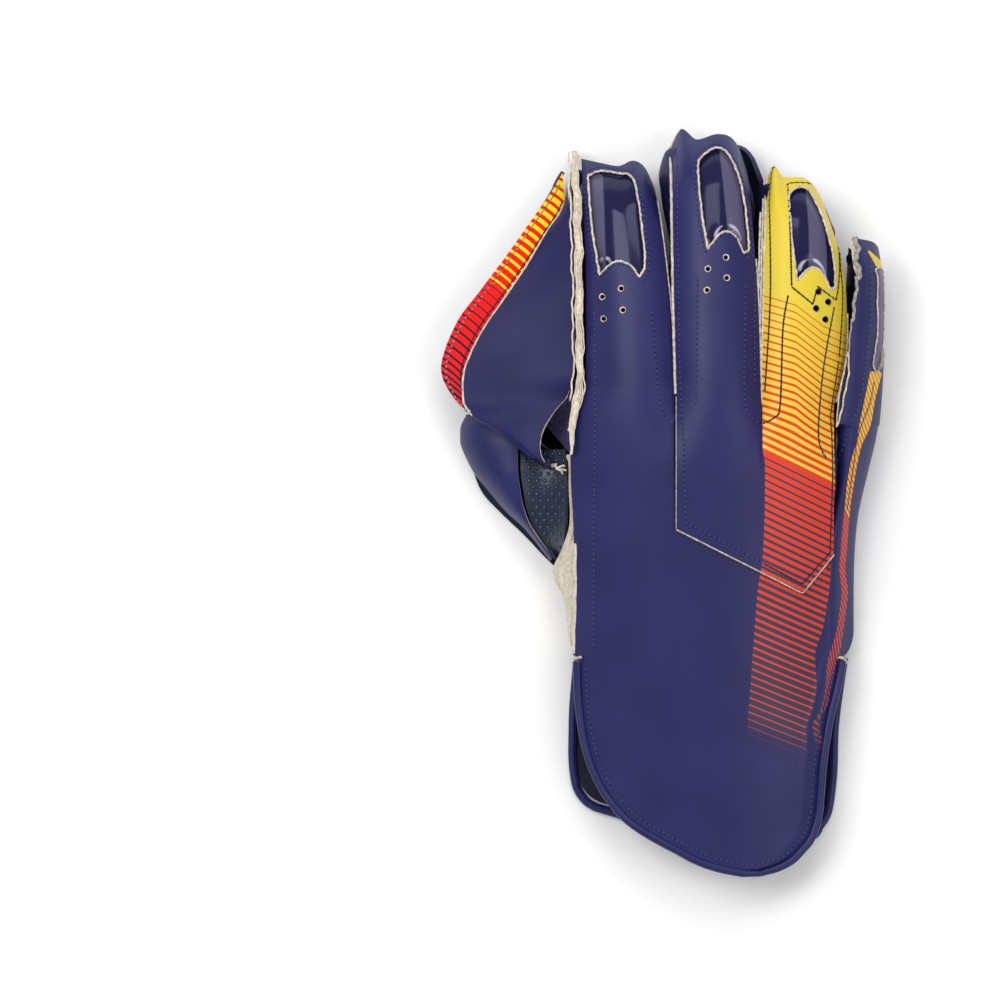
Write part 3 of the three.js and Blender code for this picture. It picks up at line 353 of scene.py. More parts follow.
def band_two(x, y):
    if y > YELLOW_TIP[0] - 1:
        share = (YELLOW_TIP[1] - y) / (YELLOW_TIP[1] - YELLOW_TIP[0])
        from_sides = min(x - mix(69.7, 74.6, share), mix(70, 80, share) - x)
        from_ends = min(y - YELLOW_TIP[0], YELLOW_TIP[1] - 1.2 - y)
        return min(from_sides, from_ends), 0.25, -0.5
    left, right = read(BAND_TWO, 1, y), read(BAND_TWO, 2, y)
    lean = mix(0.6, mix(2.2, 1.75, ease(0, 40, y)), ease(-30, -20, y))
    run = y + lean * (x - left)
    red_from, ends = 62.8, -38
    level = (170 - run) / (170 - red_from)
    if run < red_from:
        level = 1 + (red_from - run) / (red_from - ends)
    above = BAND_TWO[-1][0] + 1 - y
    return min(x - left, right - x, above), run / STRIPE_PITCH["two"], level


def mark_print(piece, bands_at):
    """Gives each vertex its place in a printed band: distance inside, stripe count, level."""
    marks = [piece.data.attributes.new(name, "FLOAT", "POINT") for name in ("band", "stripe", "level")]
    for corner in piece.data.vertices:
        x = (corner.co.x - WRIST_X) / MM
        y = (corner.co.y - WRIST_Y) / MM
        for mark, value in zip(marks, max(bands_at(x, y))):
            mark.data[corner.index].value = value


NAVY = (0.0125, 0.0125, 0.084, 1)
NAVY_LIGHT = (0.0175, 0.018, 0.105, 1)
PRINT_YELLOW = (0.7, 0.54, 0.035, 1)
PRINT_RED = (0.72, 0.038, 0.008, 1)
PRINT_SLATE = (0.034, 0.034, 0.075, 1)
CREAM = (0.72, 0.65, 0.55, 1)
CREAM_DARK = (0.4, 0.34, 0.28, 1)


def node_of(tree, kind, x, y, **settings):
    node = tree.nodes.new(kind)
    node.location = (x, y)
    for setting, value in settings.items():
        setattr(node, setting, value)
    return node


def sum_of(tree, operation, x, y, first, second=None, third=None):
    """A math node whose inputs are numbers or other nodes' outputs."""
    node = node_of(tree, "ShaderNodeMath", x, y, operation=operation)
    for socket, value in zip(node.inputs, (first, second, third)):
        if isinstance(value, (int, float)):
            socket.default_value = value
        elif value is not None:
            tree.links.new(value, socket)
    return node.outputs[0]


def span_of(tree, x, y, value, lowest, highest, to_low=0, to_high=1):
    node = node_of(tree, "ShaderNodeMapRange", x, y)
    tree.links.new(value, node.inputs["Value"])
    for socket, number in zip(node.inputs[1:5], (lowest, highest, to_low, to_high)):
        socket.default_value = number
    return node.outputs[0]


def blend_of(tree, x, y, share, first, second):
    """A colour mix node; colours and share are constants or other nodes' outputs."""
    node = node_of(tree, "ShaderNodeMix", x, y, data_type="RGBA")
    for socket, value in ((node.inputs[0], share), (node.inputs[6], first), (node.inputs[7], second)):
        if isinstance(value, bpy.types.NodeSocket):
            tree.links.new(value, socket)
        else:
            socket.default_value = value
    return node.outputs[2]


def new_finish(name, roughness, specular=0.5):
    finish = bpy.data.materials.new(name)
    finish.use_nodes = True
    shader = finish.node_tree.nodes["Principled BSDF"]
    shader.inputs["Roughness"].default_value = roughness
    shader.inputs["Specular IOR Level"].default_value = specular
    return finish, finish.node_tree, shader


def grain(tree, shader, size_mm, depth_mm, strength, second_mm=None):
    """Fine bumps on object coordinates, with a coarser second layer if asked for."""
    coords = node_of(tree, "ShaderNodeTexCoord", -1200, -400)
    last = None
    for step, size in enumerate(filter(None, (second_mm, size_mm))):
        noise = node_of(tree, "ShaderNodeTexNoise", -900, -400 - 250 * step)
        noise.inputs["Scale"].default_value = 1 / (size * MM)
        noise.inputs["Detail"].default_value = 3
        tree.links.new(coords.outputs["Object"], noise.inputs["Vector"])
        bump = node_of(tree, "ShaderNodeBump", -500 + 200 * step, -400 - 250 * step)
        bump.inputs["Strength"].default_value = strength
        bump.inputs["Distance"].default_value = depth_mm * MM * (size / size_mm) ** 0.5
        tree.links.new(noise.outputs["Fac"], bump.inputs["Height"])
        if last:
            tree.links.new(last, bump.inputs["Normal"])
        last = bump.outputs[0]
    tree.links.new(last, shader.inputs["Normal"])
    return coords.outputs["Object"]


def mottle(tree, coords, size_mm, x=-900, y=300):
    """Slow cloudy change over the surface, as a share."""
    noise = node_of(tree, "ShaderNodeTexNoise", x, y)
    noise.inputs["Scale"].default_value = 1 / (size_mm * MM)
    noise.inputs["Detail"].default_value = 4
    tree.links.new(coords, noise.inputs["Vector"])
    return span_of(tree, x + 200, y, noise.outputs["Fac"], 0.35, 0.65)


def cloud_paint(tree, shader, coords, size_mm, first, second):
    """Colours a finish in two shades that drift into each other over the surface."""
    colour = blend_of(tree, -300, 300, mottle(tree, coords, size_mm), first, second)
    tree.links.new(colour, shader.inputs["Base Color"])


# half a stripe's share of the pitch at the ends of the yellow zone and of the red zone
STRIPE_WIDTHS = (0.07, 0.26, 0.12, 0.43)


def printed_leather(
        name, yellow=PRINT_YELLOW, red=PRINT_RED, dark=PRINT_SLATE, widths=STRIPE_WIDTHS, sheen=0.3):
    """Blue leather whose stripes are worked out from the marks that mark_print leaves."""
    finish, tree, shader = new_finish(name, 0.45, sheen)
    coords = grain(tree, shader, 0.9, 0.05, 0.35, 14)
    marks = {}
    for step, mark in enumerate(("band", "stripe", "level")):
        node = node_of(tree, "ShaderNodeAttribute", -1800, 600 - 200 * step, attribute_name=mark)
        marks[mark] = node.outputs["Fac"]
    ground = blend_of(tree, -600, 600, mottle(tree, coords, 30), NAVY, NAVY_LIGHT)
    wave = sum_of(tree, "PINGPONG", -1500, 400, marks["stripe"], 0.5)
    red_zone = span_of(tree, -1500, 200, marks["level"], 0.999, 1.001)
    thin = span_of(tree, -1300, 100, marks["level"], 0, 1, *widths[:2])
    begun = span_of(tree, -1300, 250, marks["level"], -0.004, 0.004)
    thin = sum_of(tree, "MULTIPLY", -1200, 150, thin, begun)
    thick = span_of(tree, -1300, -100, marks["level"], 1, 2, *widths[2:])
    width = sum_of(tree, "ADD", -900, 0,
        sum_of(tree, "MULTIPLY", -1100, 100, thin, sum_of(tree, "SUBTRACT", -1300, 0, 1, red_zone)),
        sum_of(tree, "MULTIPLY", -1100, -100, thick, red_zone))
    inside = sum_of(tree, "SUBTRACT", -800, 200, width, wave)
    line = span_of(tree, -600, 200, inside, -0.012, 0.012)
    base = blend_of(tree, -400, 300, red_zone, yellow, red)
    stripe = blend_of(tree, -400, 100, red_zone, red, dark)
    print_colour = blend_of(tree, -200, 200, line, base, stripe)
    in_band = span_of(tree, -600, 0, marks["band"], -0.06, 0.06)
    before_end = span_of(tree, -600, -200, marks["level"], 1.97, 2.05, 1, 0)
    shown = sum_of(tree, "MULTIPLY", -300, -100, in_band, before_end)
    tree.links.new(blend_of(tree, 0, 300, shown, ground, print_colour), shader.inputs["Base Color"])
    return finish


def pale_suede(name, light=CREAM, dark=CREAM_DARK):
    finish, tree, shader = new_finish(name, 0.85, 0.2)
    coords = grain(tree, shader, 0.35, 0.15, 0.6)
    cloud_paint(tree, shader, coords, 1.6, dark, light)
    shader.inputs["Sheen Weight"].default_value = 0.3
    return finish


def smooth_leather(name, dark=NAVY, light=NAVY_LIGHT, roughness=0.45, specular=0.3):
    finish, tree, shader = new_finish(name, roughness, specular)
    coords = grain(tree, shader, 0.9, 0.05, 0.35, 14)
    cloud_paint(tree, shader, coords, 25, dark, light)
    return finish


BACK_LEATHER = printed_leather("printed_back_leather")
CUT_EDGE = pale_suede("pale_cut_edge")
INNER_FACE = smooth_leather("dark_inner_face", (0.005, 0.005, 0.02, 1), (0.009, 0.009, 0.035, 1), 0.7)


def edit(piece):
    bpy.ops.object.select_all(action="DESELECT")
    piece.select_set(True)
    bpy.context.view_layer.objects.active = piece
    bpy.ops.object.mode_set(mode="EDIT")


def leave_edit():
    bpy.ops.object.mode_set(mode="OBJECT")


def drop_faces(piece, unwanted):
    """Deletes the faces that unwanted picks."""
    bpy.context.tool_settings.mesh_select_mode = (False, False, True)
    for bits in (piece.data.vertices, piece.data.edges):
        bits.foreach_set("select", [False] * len(bits))
    for cell in piece.data.polygons:
        cell.select = unwanted(cell)
    edit(piece)
    bpy.ops.mesh.delete(type="FACE")
    leave_edit()


def apply(piece, kind, **settings):
    modifier = piece.modifiers.new(kind.lower(), kind)
    for setting, value in settings.items():
        setattr(modifier, setting, value)
    bpy.ops.object.select_all(action="DESELECT")
    piece.select_set(True)
    bpy.context.view_layer.objects.active = piece
    bpy.ops.object.modifier_apply(modifier=modifier.name)


def pressed_sheet(name, columns, rows, point, wall, finishes, face=1, has=None, marks=None):
    """A grid pressed to shape and given its wall inwards; finishes are outer face, cut edge, inner face."""
    bpy.ops.object.select_all(action="DESELECT")
    bpy.ops.mesh.primitive_grid_add(x_subdivisions=columns - 1, y_subdivisions=rows - 1, size=1)
    piece = bpy.context.object
    piece.name = name
    for corner in piece.data.vertices:
        j, i = divmod(corner.index, columns)
        corner.co = place(*point(i, j))
        for mark, value in (marks(i, j) if marks else {}).items():
            layer = piece.data.attributes.get(mark) or piece.data.attributes.new(mark, "FLOAT", "POINT")
            layer.data[corner.index].value = value
    if has:
        drop_faces(piece, lambda cell: not has(cell.index % (columns - 1), cell.index // (columns - 1)))
    if face < 0:
        edit(piece)
        bpy.ops.mesh.select_all(action="SELECT")
        bpy.ops.mesh.flip_normals()
        leave_edit()
    for finish in finishes:
        piece.data.materials.append(finish)
    apply(
        piece, "SOLIDIFY", thickness=wall * MM, offset=-1, material_offset=len(finishes) - 1,
        material_offset_rim=1)
    bpy.ops.object.shade_smooth_by_angle(angle=math.radians(55))
    return piece


def run_through(points, steps, closed=False):
    """A smooth row of places through the points; a point with a fourth value True is a sharp corner."""
    spots = [Vector(point[:3]) for point in points]
    sharp = [len(point) > 3 and point[3] for point in points]
    count = len(spots)
    row = []
    for k in range(count if closed else count - 1):
        a, b = spots[k], spots[(k + 1) % count]
        before = spots[k - 1] if closed or k > 0 else a
        after = spots[(k + 2) % count] if closed or k + 2 < count else b
        leave = (b - a) if sharp[k] else (b - before) / 2
        arrive = (b - a) if sharp[(k + 1) % count] else (after - a) / 2
        for step in range(steps):
            t = step / steps
            row.append(
                a * (1 + 2 * t) * (1 - t) ** 2 + b * t * t * (3 - 2 * t)
                + leave * t * (1 - t) ** 2 - arrive * t * t * (1 - t)
            )
    return row if closed else row + [spots[-1]]


def cut_out(piece, outline, depth_mm=60):
    """Punches an upright hole, whose wall gets the piece's second finish."""
    bpy.ops.object.select_all(action="DESELECT")
    bpy.ops.mesh.primitive_circle_add(vertices=len(outline), radius=1, fill_type="NGON")
    punch = bpy.context.object
    for corner, spot in zip(punch.data.vertices, outline):
        corner.co = place(spot.x, spot.y, 5)
    edit(punch)
    bpy.ops.mesh.select_all(action="SELECT")
    bpy.ops.mesh.extrude_region_move(TRANSFORM_OT_translate={"value": (0, 0, depth_mm * MM)})
    bpy.ops.mesh.select_all(action="SELECT")
    bpy.ops.mesh.normals_make_consistent(inside=False)
    leave_edit()
    punch.data.materials.append(CUT_EDGE)
    apply(piece, "BOOLEAN", operation="DIFFERENCE", object=punch, solver="EXACT", material_mode="TRANSFER")
    bpy.data.objects.remove(punch)


def strand(name, points, radius_mm, finish, steps=1, closed=False, stand_mm=0, uneven=0, sides=3):
    """A round or upright oval strip along points, as a mesh; uneven wanders its line and width."""
    dice = random.Random(name)
    row = run_through(points, steps, closed)
    curve = bpy.data.curves.new(name, "CURVE")
    curve.dimensions = "3D"
    curve.twist_mode = "Z_UP"
    curve.bevel_depth = radius_mm * MM
    curve.bevel_resolution = sides
    curve.extrude = stand_mm / 2 * MM
    curve.use_fill_caps = True
    line = curve.splines.new("POLY")
    line.points.add(len(row) - 1)
    for spot, knot in zip(row, line.points):
        wander = Vector((dice.uniform(-1, 1), dice.uniform(-1, 1), dice.uniform(-0.5, 0.5))) * uneven
        knot.co = (*place(*(spot + wander)), 1)
        knot.radius = 1 + dice.uniform(-1, 1) * uneven
    line.use_cyclic_u = closed
    piece = bpy.data.objects.new(name, curve)
    bpy.context.collection.objects.link(piece)
    bpy.ops.object.select_all(action="DESELECT")
    piece.select_set(True)
    bpy.context.view_layer.objects.active = piece
    bpy.ops.object.convert(target="MESH")
    piece = bpy.context.object
    piece.data.materials.append(finish)
    bpy.ops.object.shade_smooth_by_angle(angle=math.radians(60))
    return piece


def joined(name, pieces):
    bpy.ops.object.select_all(action="DESELECT")
    for piece in pieces:
        piece.select_set(True)
    bpy.context.view_layer.objects.active = pieces[0]
    if len(pieces) > 1:
        bpy.ops.object.join()
    pieces[0].name = name
    pieces[0].data.name = name
    return pieces[0]


def thread(name, colour):
    finish, tree, shader = new_finish(name, 0.55, 0.4)
    coords = grain(tree, shader, 0.3, 0.05, 0.5)
    darker = tuple(value * 0.6 for value in colour[:3]) + (1,)
    cloud_paint(tree, shader, coords, 1, darker, colour)
    return finish


# length, width and height of a stitch and of the dark bead painted as the shade in the hollow at its needle
# hole
STITCH = Vector((1.75, 0.85, 0.7))
HOLE_SHADE = Vector((0.75, 0.85, 0.3))
STITCH_PITCH = 2.3
NAVY_THREAD = thread("navy_thread", (0.036, 0.046, 0.22, 1))
INK_THREAD = thread("ink_thread", (0.012, 0.012, 0.05, 1))
# near-black beads at the needle holes: painted shade of the furrow the stitches sit in
NEEDLE_HOLE_SHADE = thread("needle_hole_painted_shade", (0.002, 0.002, 0.008, 1))
GREY_THREAD = thread("grey_thread", (0.3, 0.3, 0.32, 1))


def scatter(name, finish, frames, segments=6):
    """Copies of one small low bead, each set in its own frame, as one mesh."""
    bpy.ops.object.select_all(action="DESELECT")
    bpy.ops.mesh.primitive_uv_sphere_add(segments=segments, ring_count=4, radius=0.5)
    beads = bpy.context.object
    beads.name = name
    beads.data.materials.append(finish)
    bpy.ops.object.shade_smooth()
    shape = [corner.co.copy() for corner in beads.data.vertices]
    apply(beads, "ARRAY", count=len(frames), use_relative_offset=False)
    for number, setting in enumerate(frames):
        for k, spot in enumerate(shape):
            beads.data.vertices[number * len(shape) + k].co = setting @ spot
    return beads


def set_in(ground, ahead, up, form):
    along = (ahead - up * ahead.dot(up)).normalized()
    turned = Matrix((along * form.x, up.cross(along) * form.y, up * form.z)).transposed()
    return Matrix.Translation(ground) @ (turned * MM).to_4x4()


def sew(cloth, rows, finish, steps=6, pitch=STITCH_PITCH, size=1):
    """Lays stitches, and near-black beads painted as the shade in their needle holes, on a panel under lines
    drawn in plan, and joins them to it.
    """
    bpy.context.view_layer.update()
    seams = []
    kinds = (("stitches", finish, STITCH, 0), ("needle_hole_shades", NEEDLE_HOLE_SHADE, HOLE_SHADE, pitch / 2))
    for name, paint, form, shift in kinds:
        frames = []
        for row in rows:
            line = run_through([(spot[0], spot[1], 0, *spot[2:]) for spot in row], steps)
            gone = pitch / 2 + shift
            for a, b in zip(line, line[1:]):
                ahead = (b - a).normalized()
                length = (b - a).length
                while gone < length:
                    spot = a + ahead * gone
                    gone += pitch
                    hit, ground, up, _ = cloth.ray_cast(place(spot.x, spot.y, 90), (0, 0, -1))
                    if hit and up.z > 0.15:
                        frames.append(set_in(ground, ahead, up, form * size))
                gone -= length
        seams.append(scatter(name, paint, frames))
    return joined(cloth.name, [cloth, *seams])


def outward(row, distance):
    """The same closed row of places in plan, moved out from its middle on all sides."""
    xs, ys = [spot.x for spot in row], [spot.y for spot in row]
    middle = Vector(((min(xs) + max(xs)) / 2, (min(ys) + max(ys)) / 2))
    grow = Vector((1 + 2 * distance / (max(xs) - min(xs)), 1 + 2 * distance / (max(ys) - min(ys))))
    moved = [middle + (spot.xy - middle) * grow for spot in row]
    return [tuple(spot) for spot in moved + moved[:1]]


# across, along, sharp corner: shares of the window's own width and height; the
# index finger's window is squarer than the other two
WINDOW_OUTLINE = [
    (0.14, 0.02, True), (0.04, 0.4), (0.0, 0.84), (0.09, 0.95), (0.34, 1), (0.62, 0.97), (0.86, 0.8),
    (0.97, 0.55), (1, 0.12), (0.88, 0, True), (0.73, 0.12), (0.55, 0.165), (0.36, 0.13),
]
INDEX_OUTLINE = [
    (0.14, 0.02, True), (0.04, 0.4), (0.0, 0.86), (0.07, 0.94), (0.34, 1), (0.64, 1), (0.86, 0.95),
    (0.96, 0.82), (1, 0.5), (1, 0.12), (0.88, 0, True), (0.73, 0.12), (0.55, 0.165), (0.36, 0.13),
]
# left, right, low, high: shares of each finger
WINDOW_PLACES = {
    "index": (0.075, 0.72, 0.482, 0.965), "middle": (0.33, 0.92, 0.555, 0.945),
    "ring": (0.32, 0.86, 0.535, 0.955),
}
VENTS = {
    "index": [(0.53, -0.09), (0.18, -0.18), (0.55, -0.29), (0.2, -0.38)],
    "middle": [(0.5, -0.09), (0.13, -0.18), (0.5, -0.29), (0.1, -0.39)],
    "ring": [(0.6, -0.08), (0.82, -0.15), (0.55, -0.26), (0.76, -0.35)],
}
VENT_RADIUS = 1.25


def window_spot(name, across, along):
    left, right, low, high = WINDOW_PLACES[name]
    return Vector(finger_back(name, mix(left, right, across), mix(low, high, along)))


def window_row(name, raise_mm):
    outline = INDEX_OUTLINE if name == "index" else WINDOW_OUTLINE
    shares = run_through([(spot[0], spot[1], 0, *spot[2:]) for spot in outline], 6, closed=True)
    return [window_spot(name, share.x, share.y) + Vector((0, 0, raise_mm)) for share in shares]


def vent_row(name, vent, radius, raise_mm):
    middle = window_spot(name, *vent)
    turns = [2 * math.pi * k / 14 for k in range(14)]
    return [
        Vector((middle.x + radius * math.cos(a), middle.y + radius * math.sin(a), middle.z + raise_mm))
        for a in turns
    ]


def window_and_vents(piece, name):
    cut_out(piece, window_row(name, 0))
    for vent in VENTS[name]:
        cut_out(piece, vent_row(name, vent, VENT_RADIUS, 0))


def window_rims(name, raise_mm):
    """The frayed pale edge of the window and the pale edges of the vents."""
    edge = window_row(name, raise_mm - 0.15)
    strands = [strand(f"rim_{name}", edge, 0.48, CUT_EDGE, steps=2, closed=True, uneven=0.2)]
    finish = INK_THREAD if name == "ring" else CUT_EDGE
    for vent in VENTS[name]:
        edge = vent_row(name, vent, VENT_RADIUS, raise_mm - 0.1)
        strands.append(strand("vent_rim", edge, 0.3, finish, closed=True))
    return strands


back_main = pressed_sheet(
    "back_panel", len(MAIN_COLUMNS), MAIN_ROWS, main_back, LEATHER_WALL,
    [BACK_LEATHER, CUT_EDGE, INNER_FACE], has=main_has)
for cell in back_main.data.polygons:
    if cell.material_index == 1 and cell.center.y < WRIST_Y:
        cell.material_index = 0
window_and_vents(back_main, "index")
mark_print(back_main, lambda x, y: [band_one(x, y, False), band_two(x, y)])

# x, y in plan, sharp corner: the seams that show on the back panel
INDEX_SEAM = [(-47.2, 148), (-46.9, 120), (-47.2, 60), (-47.4, 2)]
KNUCKLE_SEAM = [
    (-22.8, 148), (-20.8, 125), (-20.2, 113.5), (-17.2, 103.2), (-12, 99.3), (-6.9, 101.9), (-3.9, 107.5),
]
INDEX_EDGE_SEAM = [(-18.1, 205.5), (-16.8, 189.6), (-15.1, 174.6), (-13.8, 140.6), (-13.6, 124)]
LITTLE_SEAM = [
    (52.5, 83.9), (56.8, 83), (59.8, 89), (61.9, 96.8), (67.1, 109.7), (70.5, 135), (71.8, 155), (71.5, 172),
]
LITTLE_BAND_SEAM = [(73.5, 118), (71.5, 108), (66.5, 95), (64.6, 82), (61.8, 62)]
CUFF_SEAM_INSET = 5.6


def cuff_edge():
    """The back panel's edge round the cuff, from the thumb's side to the little finger's."""
    thumb_side = [main_back(0, j) for j in range(CUFF_ROWS - 1, -1, -1)]
    return thumb_side + [main_back(len(MAIN_COLUMNS) - 1, j) for j in range(CUFF_ROWS)]


def cuff_seam():
    row = []
    edge = cuff_edge()
    for before, (x, y, _), after in zip(edge, edge[1:], edge[2:]):
        inward = Vector((before[1] - after[1], after[0] - before[0])).normalized()
        inward *= CUFF_SEAM_INSET - PIPING_SEAT
        row.append((x + inward.x, y + inward.y))
    return row


index_window = window_row("index", 0)
back_main = sew(back_main, [
    INDEX_SEAM, KNUCKLE_SEAM, INDEX_EDGE_SEAM, LITTLE_SEAM, LITTLE_BAND_SEAM,
    outward(index_window, 1.8)], NAVY_THREAD)
back_main = sew(back_main, [cuff_seam()], NAVY_THREAD, steps=1)
back_main = joined("back_panel", [back_main, *window_rims("index", 0)])
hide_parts("back_main")
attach(back_main, "root")

# Overlay: a second panel of the same printed leather makes the backs of the
# middle and ring fingers. It lies on the back panel, runs down to a point over
# the knuckles and is stitched round; its cut edge shows pale.
OVERLAY_RAISE = LEATHER_WALL + LAP_GAP
OVERLAY_LOW = [(-0.112, 0.487), (0.378, 0.24), (0.502, 0.39)]
LAP_ROWS = 58
OVERLAY_COLUMNS = [("middle", i / 28) for i in range(29)] + [("ring", i / 28) for i in range(29)]


def overlay_back(i, j):
    name, across = OVERLAY_COLUMNS[i]
    if j > LAP_ROWS:
        x, y, z = finger_back(name, across, (j - LAP_ROWS) / FINGER_ROWS)
        return x, y, z + OVERLAY_RAISE
    x, root_y, _ = finger_back(name, across, 0)
    share = x / HAND_WIDTH
    side = 0 if share < OVERLAY_LOW[1][0] else 1
    (x0, y0), (x1, y1) = OVERLAY_LOW[side:side + 2]
    low = mix(y0, y1, min(1, max(0, (share - x0) / (x1 - x0)))) * HAND_LENGTH
    y = mix(low, root_y, j / LAP_ROWS)
    along = (y - root_y) / FINGERS[name]["length"]
    return x, y, back_height(x, y) - crown_drop(across, along) + OVERLAY_RAISE


def overlay_has(i, j):
    return OVERLAY_COLUMNS[i][0] == OVERLAY_COLUMNS[i + 1][0] or j < LAP_ROWS


overlay = pressed_sheet(
    "finger_overlay", len(OVERLAY_COLUMNS), LAP_ROWS + FINGER_ROWS + 1, overlay_back, LEATHER_WALL,
    [BACK_LEATHER, CUT_EDGE, INNER_FACE], has=overlay_has)
for finger_name in ("middle", "ring"):
    window_and_vents(overlay, finger_name)
mark_print(overlay, lambda x, y: [band_one(x, y, True)])

# x, y in plan, sharp corner: the seams on the overlay, in blue thread, and in
# ink thread on the yellow print
OVERLAY_RIGHT_SEAM = [
    (57.9, 126.9), (54.6, 105.4), (54.4, 99.8), (54.9, 92.5), (55.2, 74), (54.3, 43.9, True),
    (42.1, 30.6, True), (25.5, 39.3),
]
OVERLAY_SEAM = [
    (25.5, 39.3), (11.2, 46.9), (-8.2, 57, True), (-9, 88.2), (-10.3, 111.8), (-10.9, 140),
    (-11.6, 190), (-11.6, 219),
]
MIDDLE_LEFT_SEAM = [(-3, 163), (-3.4, 135), (-3.9, 107.5)]
MIDDLE_SEAM = [(17.6, 159.1), (16.8, 113.5), (19.4, 103.2), (24.5, 99.3)]
RING_SEAM = [(24.5, 99.3), (29.7, 101.9), (32.3, 107.5), (33.5, 139.8), (35.7, 153.9)]
RING_LITTLE_SEAM = [(55.9, 150), (51.2, 124.3), (49, 100.2), (49.5, 90.3), (52.5, 84.5)]
MIDDLE_EDGE_SEAM = [(22.4, 172), (21.6, 150), (21.4, 116)]
RING_EDGE_SEAM = [
    (25.8, 113), (28.2, 152.7), (28.2, 184.2), (28.2, 194.9), (29.6, 207.3), (32, 212), (37, 207.1),
    (44.2, 207.5), (49.9, 205), (53.4, 199.2), (55.6, 191.4), (57.7, 181.3), (58.7, 166.4),
    (59.6, 152.7), (58, 128),
]
RING_WINDOW_SEAM = [
    (37.3, 158, True), (36.8, 180), (36.1, 203, True), (42, 203.4), (48.2, 202.4), (53.3, 197.4),
    (55.6, 189.5), (57.4, 180.5), (58.2, 168), (57.6, 158), (56.6, 152.5, True), (48.6, 158.2, True),
    (46.4, 150.6, True), (37.3, 158, True),
]
low_corners = [overlay_back(i, 0) for i in range(len(OVERLAY_COLUMNS))]
left_corners = [overlay_back(0, j) for j in range(LAP_ROWS)]
overlay_low_edge = [(x, y - 0.2, z - LEATHER_WALL / 2) for x, y, z in low_corners]
overlay_left_edge = [(x - 0.1, y, z - LEATHER_WALL / 2) for x, y, z in left_corners]
overlay_edges = [
    strand("overlay_low_edge", overlay_low_edge, 0.5, CUT_EDGE, uneven=0.05),
    strand("overlay_left_edge", overlay_left_edge, 0.22, CUT_EDGE, uneven=0.04),
]
middle_window = window_row("middle", 0)
overlay = sew(overlay, [
    OVERLAY_SEAM, MIDDLE_LEFT_SEAM, MIDDLE_SEAM, MIDDLE_EDGE_SEAM, outward(middle_window, 1.8)], NAVY_THREAD)
overlay = sew(overlay, [
    OVERLAY_RIGHT_SEAM, RING_SEAM, RING_LITTLE_SEAM, RING_EDGE_SEAM, RING_WINDOW_SEAM],
    INK_THREAD, pitch=2.4, size=1.15)
overlay = joined("finger_overlay", [
    overlay, *overlay_edges, *window_rims("middle", OVERLAY_RAISE), *window_rims("ring", OVERLAY_RAISE)])
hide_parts("back_overlay")
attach(overlay, "root")

# Fingertip caps: a stiff glossy film in dark blue lies behind each window, so
# that the tip stays hard where the ball strikes. It is glued under the leather.
CAP_WALL = 1
CAP_SINK = LEATHER_WALL + 2 * SEAM_GAP
CAP_BLUE = (0.011, 0.01, 0.048, 1)
# paler blue painted on the film as a painted reflection of the lights
CAP_PAINTED_REFLECTION = (0.09, 0.083, 0.155, 1)
# near-white lilac painted on the film as a painted highlight
CAP_PAINTED_GLINT = (0.5, 0.48, 0.6, 1)
CAP_COLUMNS = 41
CAP_ROWS = 53
# where each film is painted paler, a painted reflection of the lights: from, to across
# the window, and how far the edges lean; then its dents: across, along, depth
PAINTED_REFLECTION_ZONES = {"index": (-0.2, 0.3, 0.06), "middle": (0.52, 0.93, -0.1), "ring": (0.42, 0.86, 0.1)}
DENTS = {
    "index": [(0.16, 0.1, 2)], "middle": [(0.62, 0.17, 2), (0.3, 0.1, 0.6)],
    "ring": [(0.42, 0.14, 2), (0.8, 0.35, 0.8)],
}
DENT_SIZE = 0.1
# middle across, along, radius and half width of the pale crescent, a painted highlight
# where each film bends round the leather
PAINTED_GLINTS = {
    "index": (0.26, 0.145, 0.09, 0.05), "middle": (0.57, 0.12, 0.26, 0.05), "ring": (0.48, 0.12, 0.29, 0.06),
}
GLINT_ASPECT = 2.3

cap_film, cap_tree, cap_shader = new_finish("glossy_cap_film", 0.15, 0.22)
grain(cap_tree, cap_shader, 7, 0.2, 0.25)
cap_shader.inputs["Coat Weight"].default_value = 0.1
cap_shader.inputs["Specular Tint"].default_value = (0.7, 0.68, 1, 1)
cap_shader.inputs["Coat Roughness"].default_value = 0.04
# painted reflection: the film's blue turns paler where the haze mark rises above zero
cap_reflection_mask = node_of(cap_tree, "ShaderNodeAttribute", -600, 300, attribute_name="haze").outputs["Fac"]
cap_glint_mask = node_of(cap_tree, "ShaderNodeAttribute", -600, 0, attribute_name="crease").outputs["Fac"]
reflection_share = span_of(cap_tree, -450, 300, cap_reflection_mask, 0, 0.03)
cap_colour = blend_of(cap_tree, -300, 300, reflection_share, CAP_BLUE, CAP_PAINTED_REFLECTION)
# painted highlight: a pale crescent where the crease mark rises above zero
glint_share = span_of(cap_tree, -450, 0, cap_glint_mask, 0, 0.035)
cap_colour = blend_of(cap_tree, -150, 300, glint_share, cap_colour, CAP_PAINTED_GLINT)
cap_tree.links.new(cap_colour, cap_shader.inputs["Base Color"])


def cap_place(i, j):
    return mix(-0.1, 1.06, i / (CAP_COLUMNS - 1)), mix(-0.08, 1.03, j / (CAP_ROWS - 1))


def cap_spot(name, i, j):
    across, along = cap_place(i, j)
    spot = window_spot(name, across, along)
    raise_mm = OVERLAY_RAISE if name != "index" else 0
    dent = sum(
        depth * math.exp(-((across - at_x) ** 2 + (along - at_y) ** 2) / DENT_SIZE ** 2)
        for at_x, at_y, depth in DENTS[name])
    return spot.x, spot.y, spot.z + raise_mm - CAP_SINK - dent


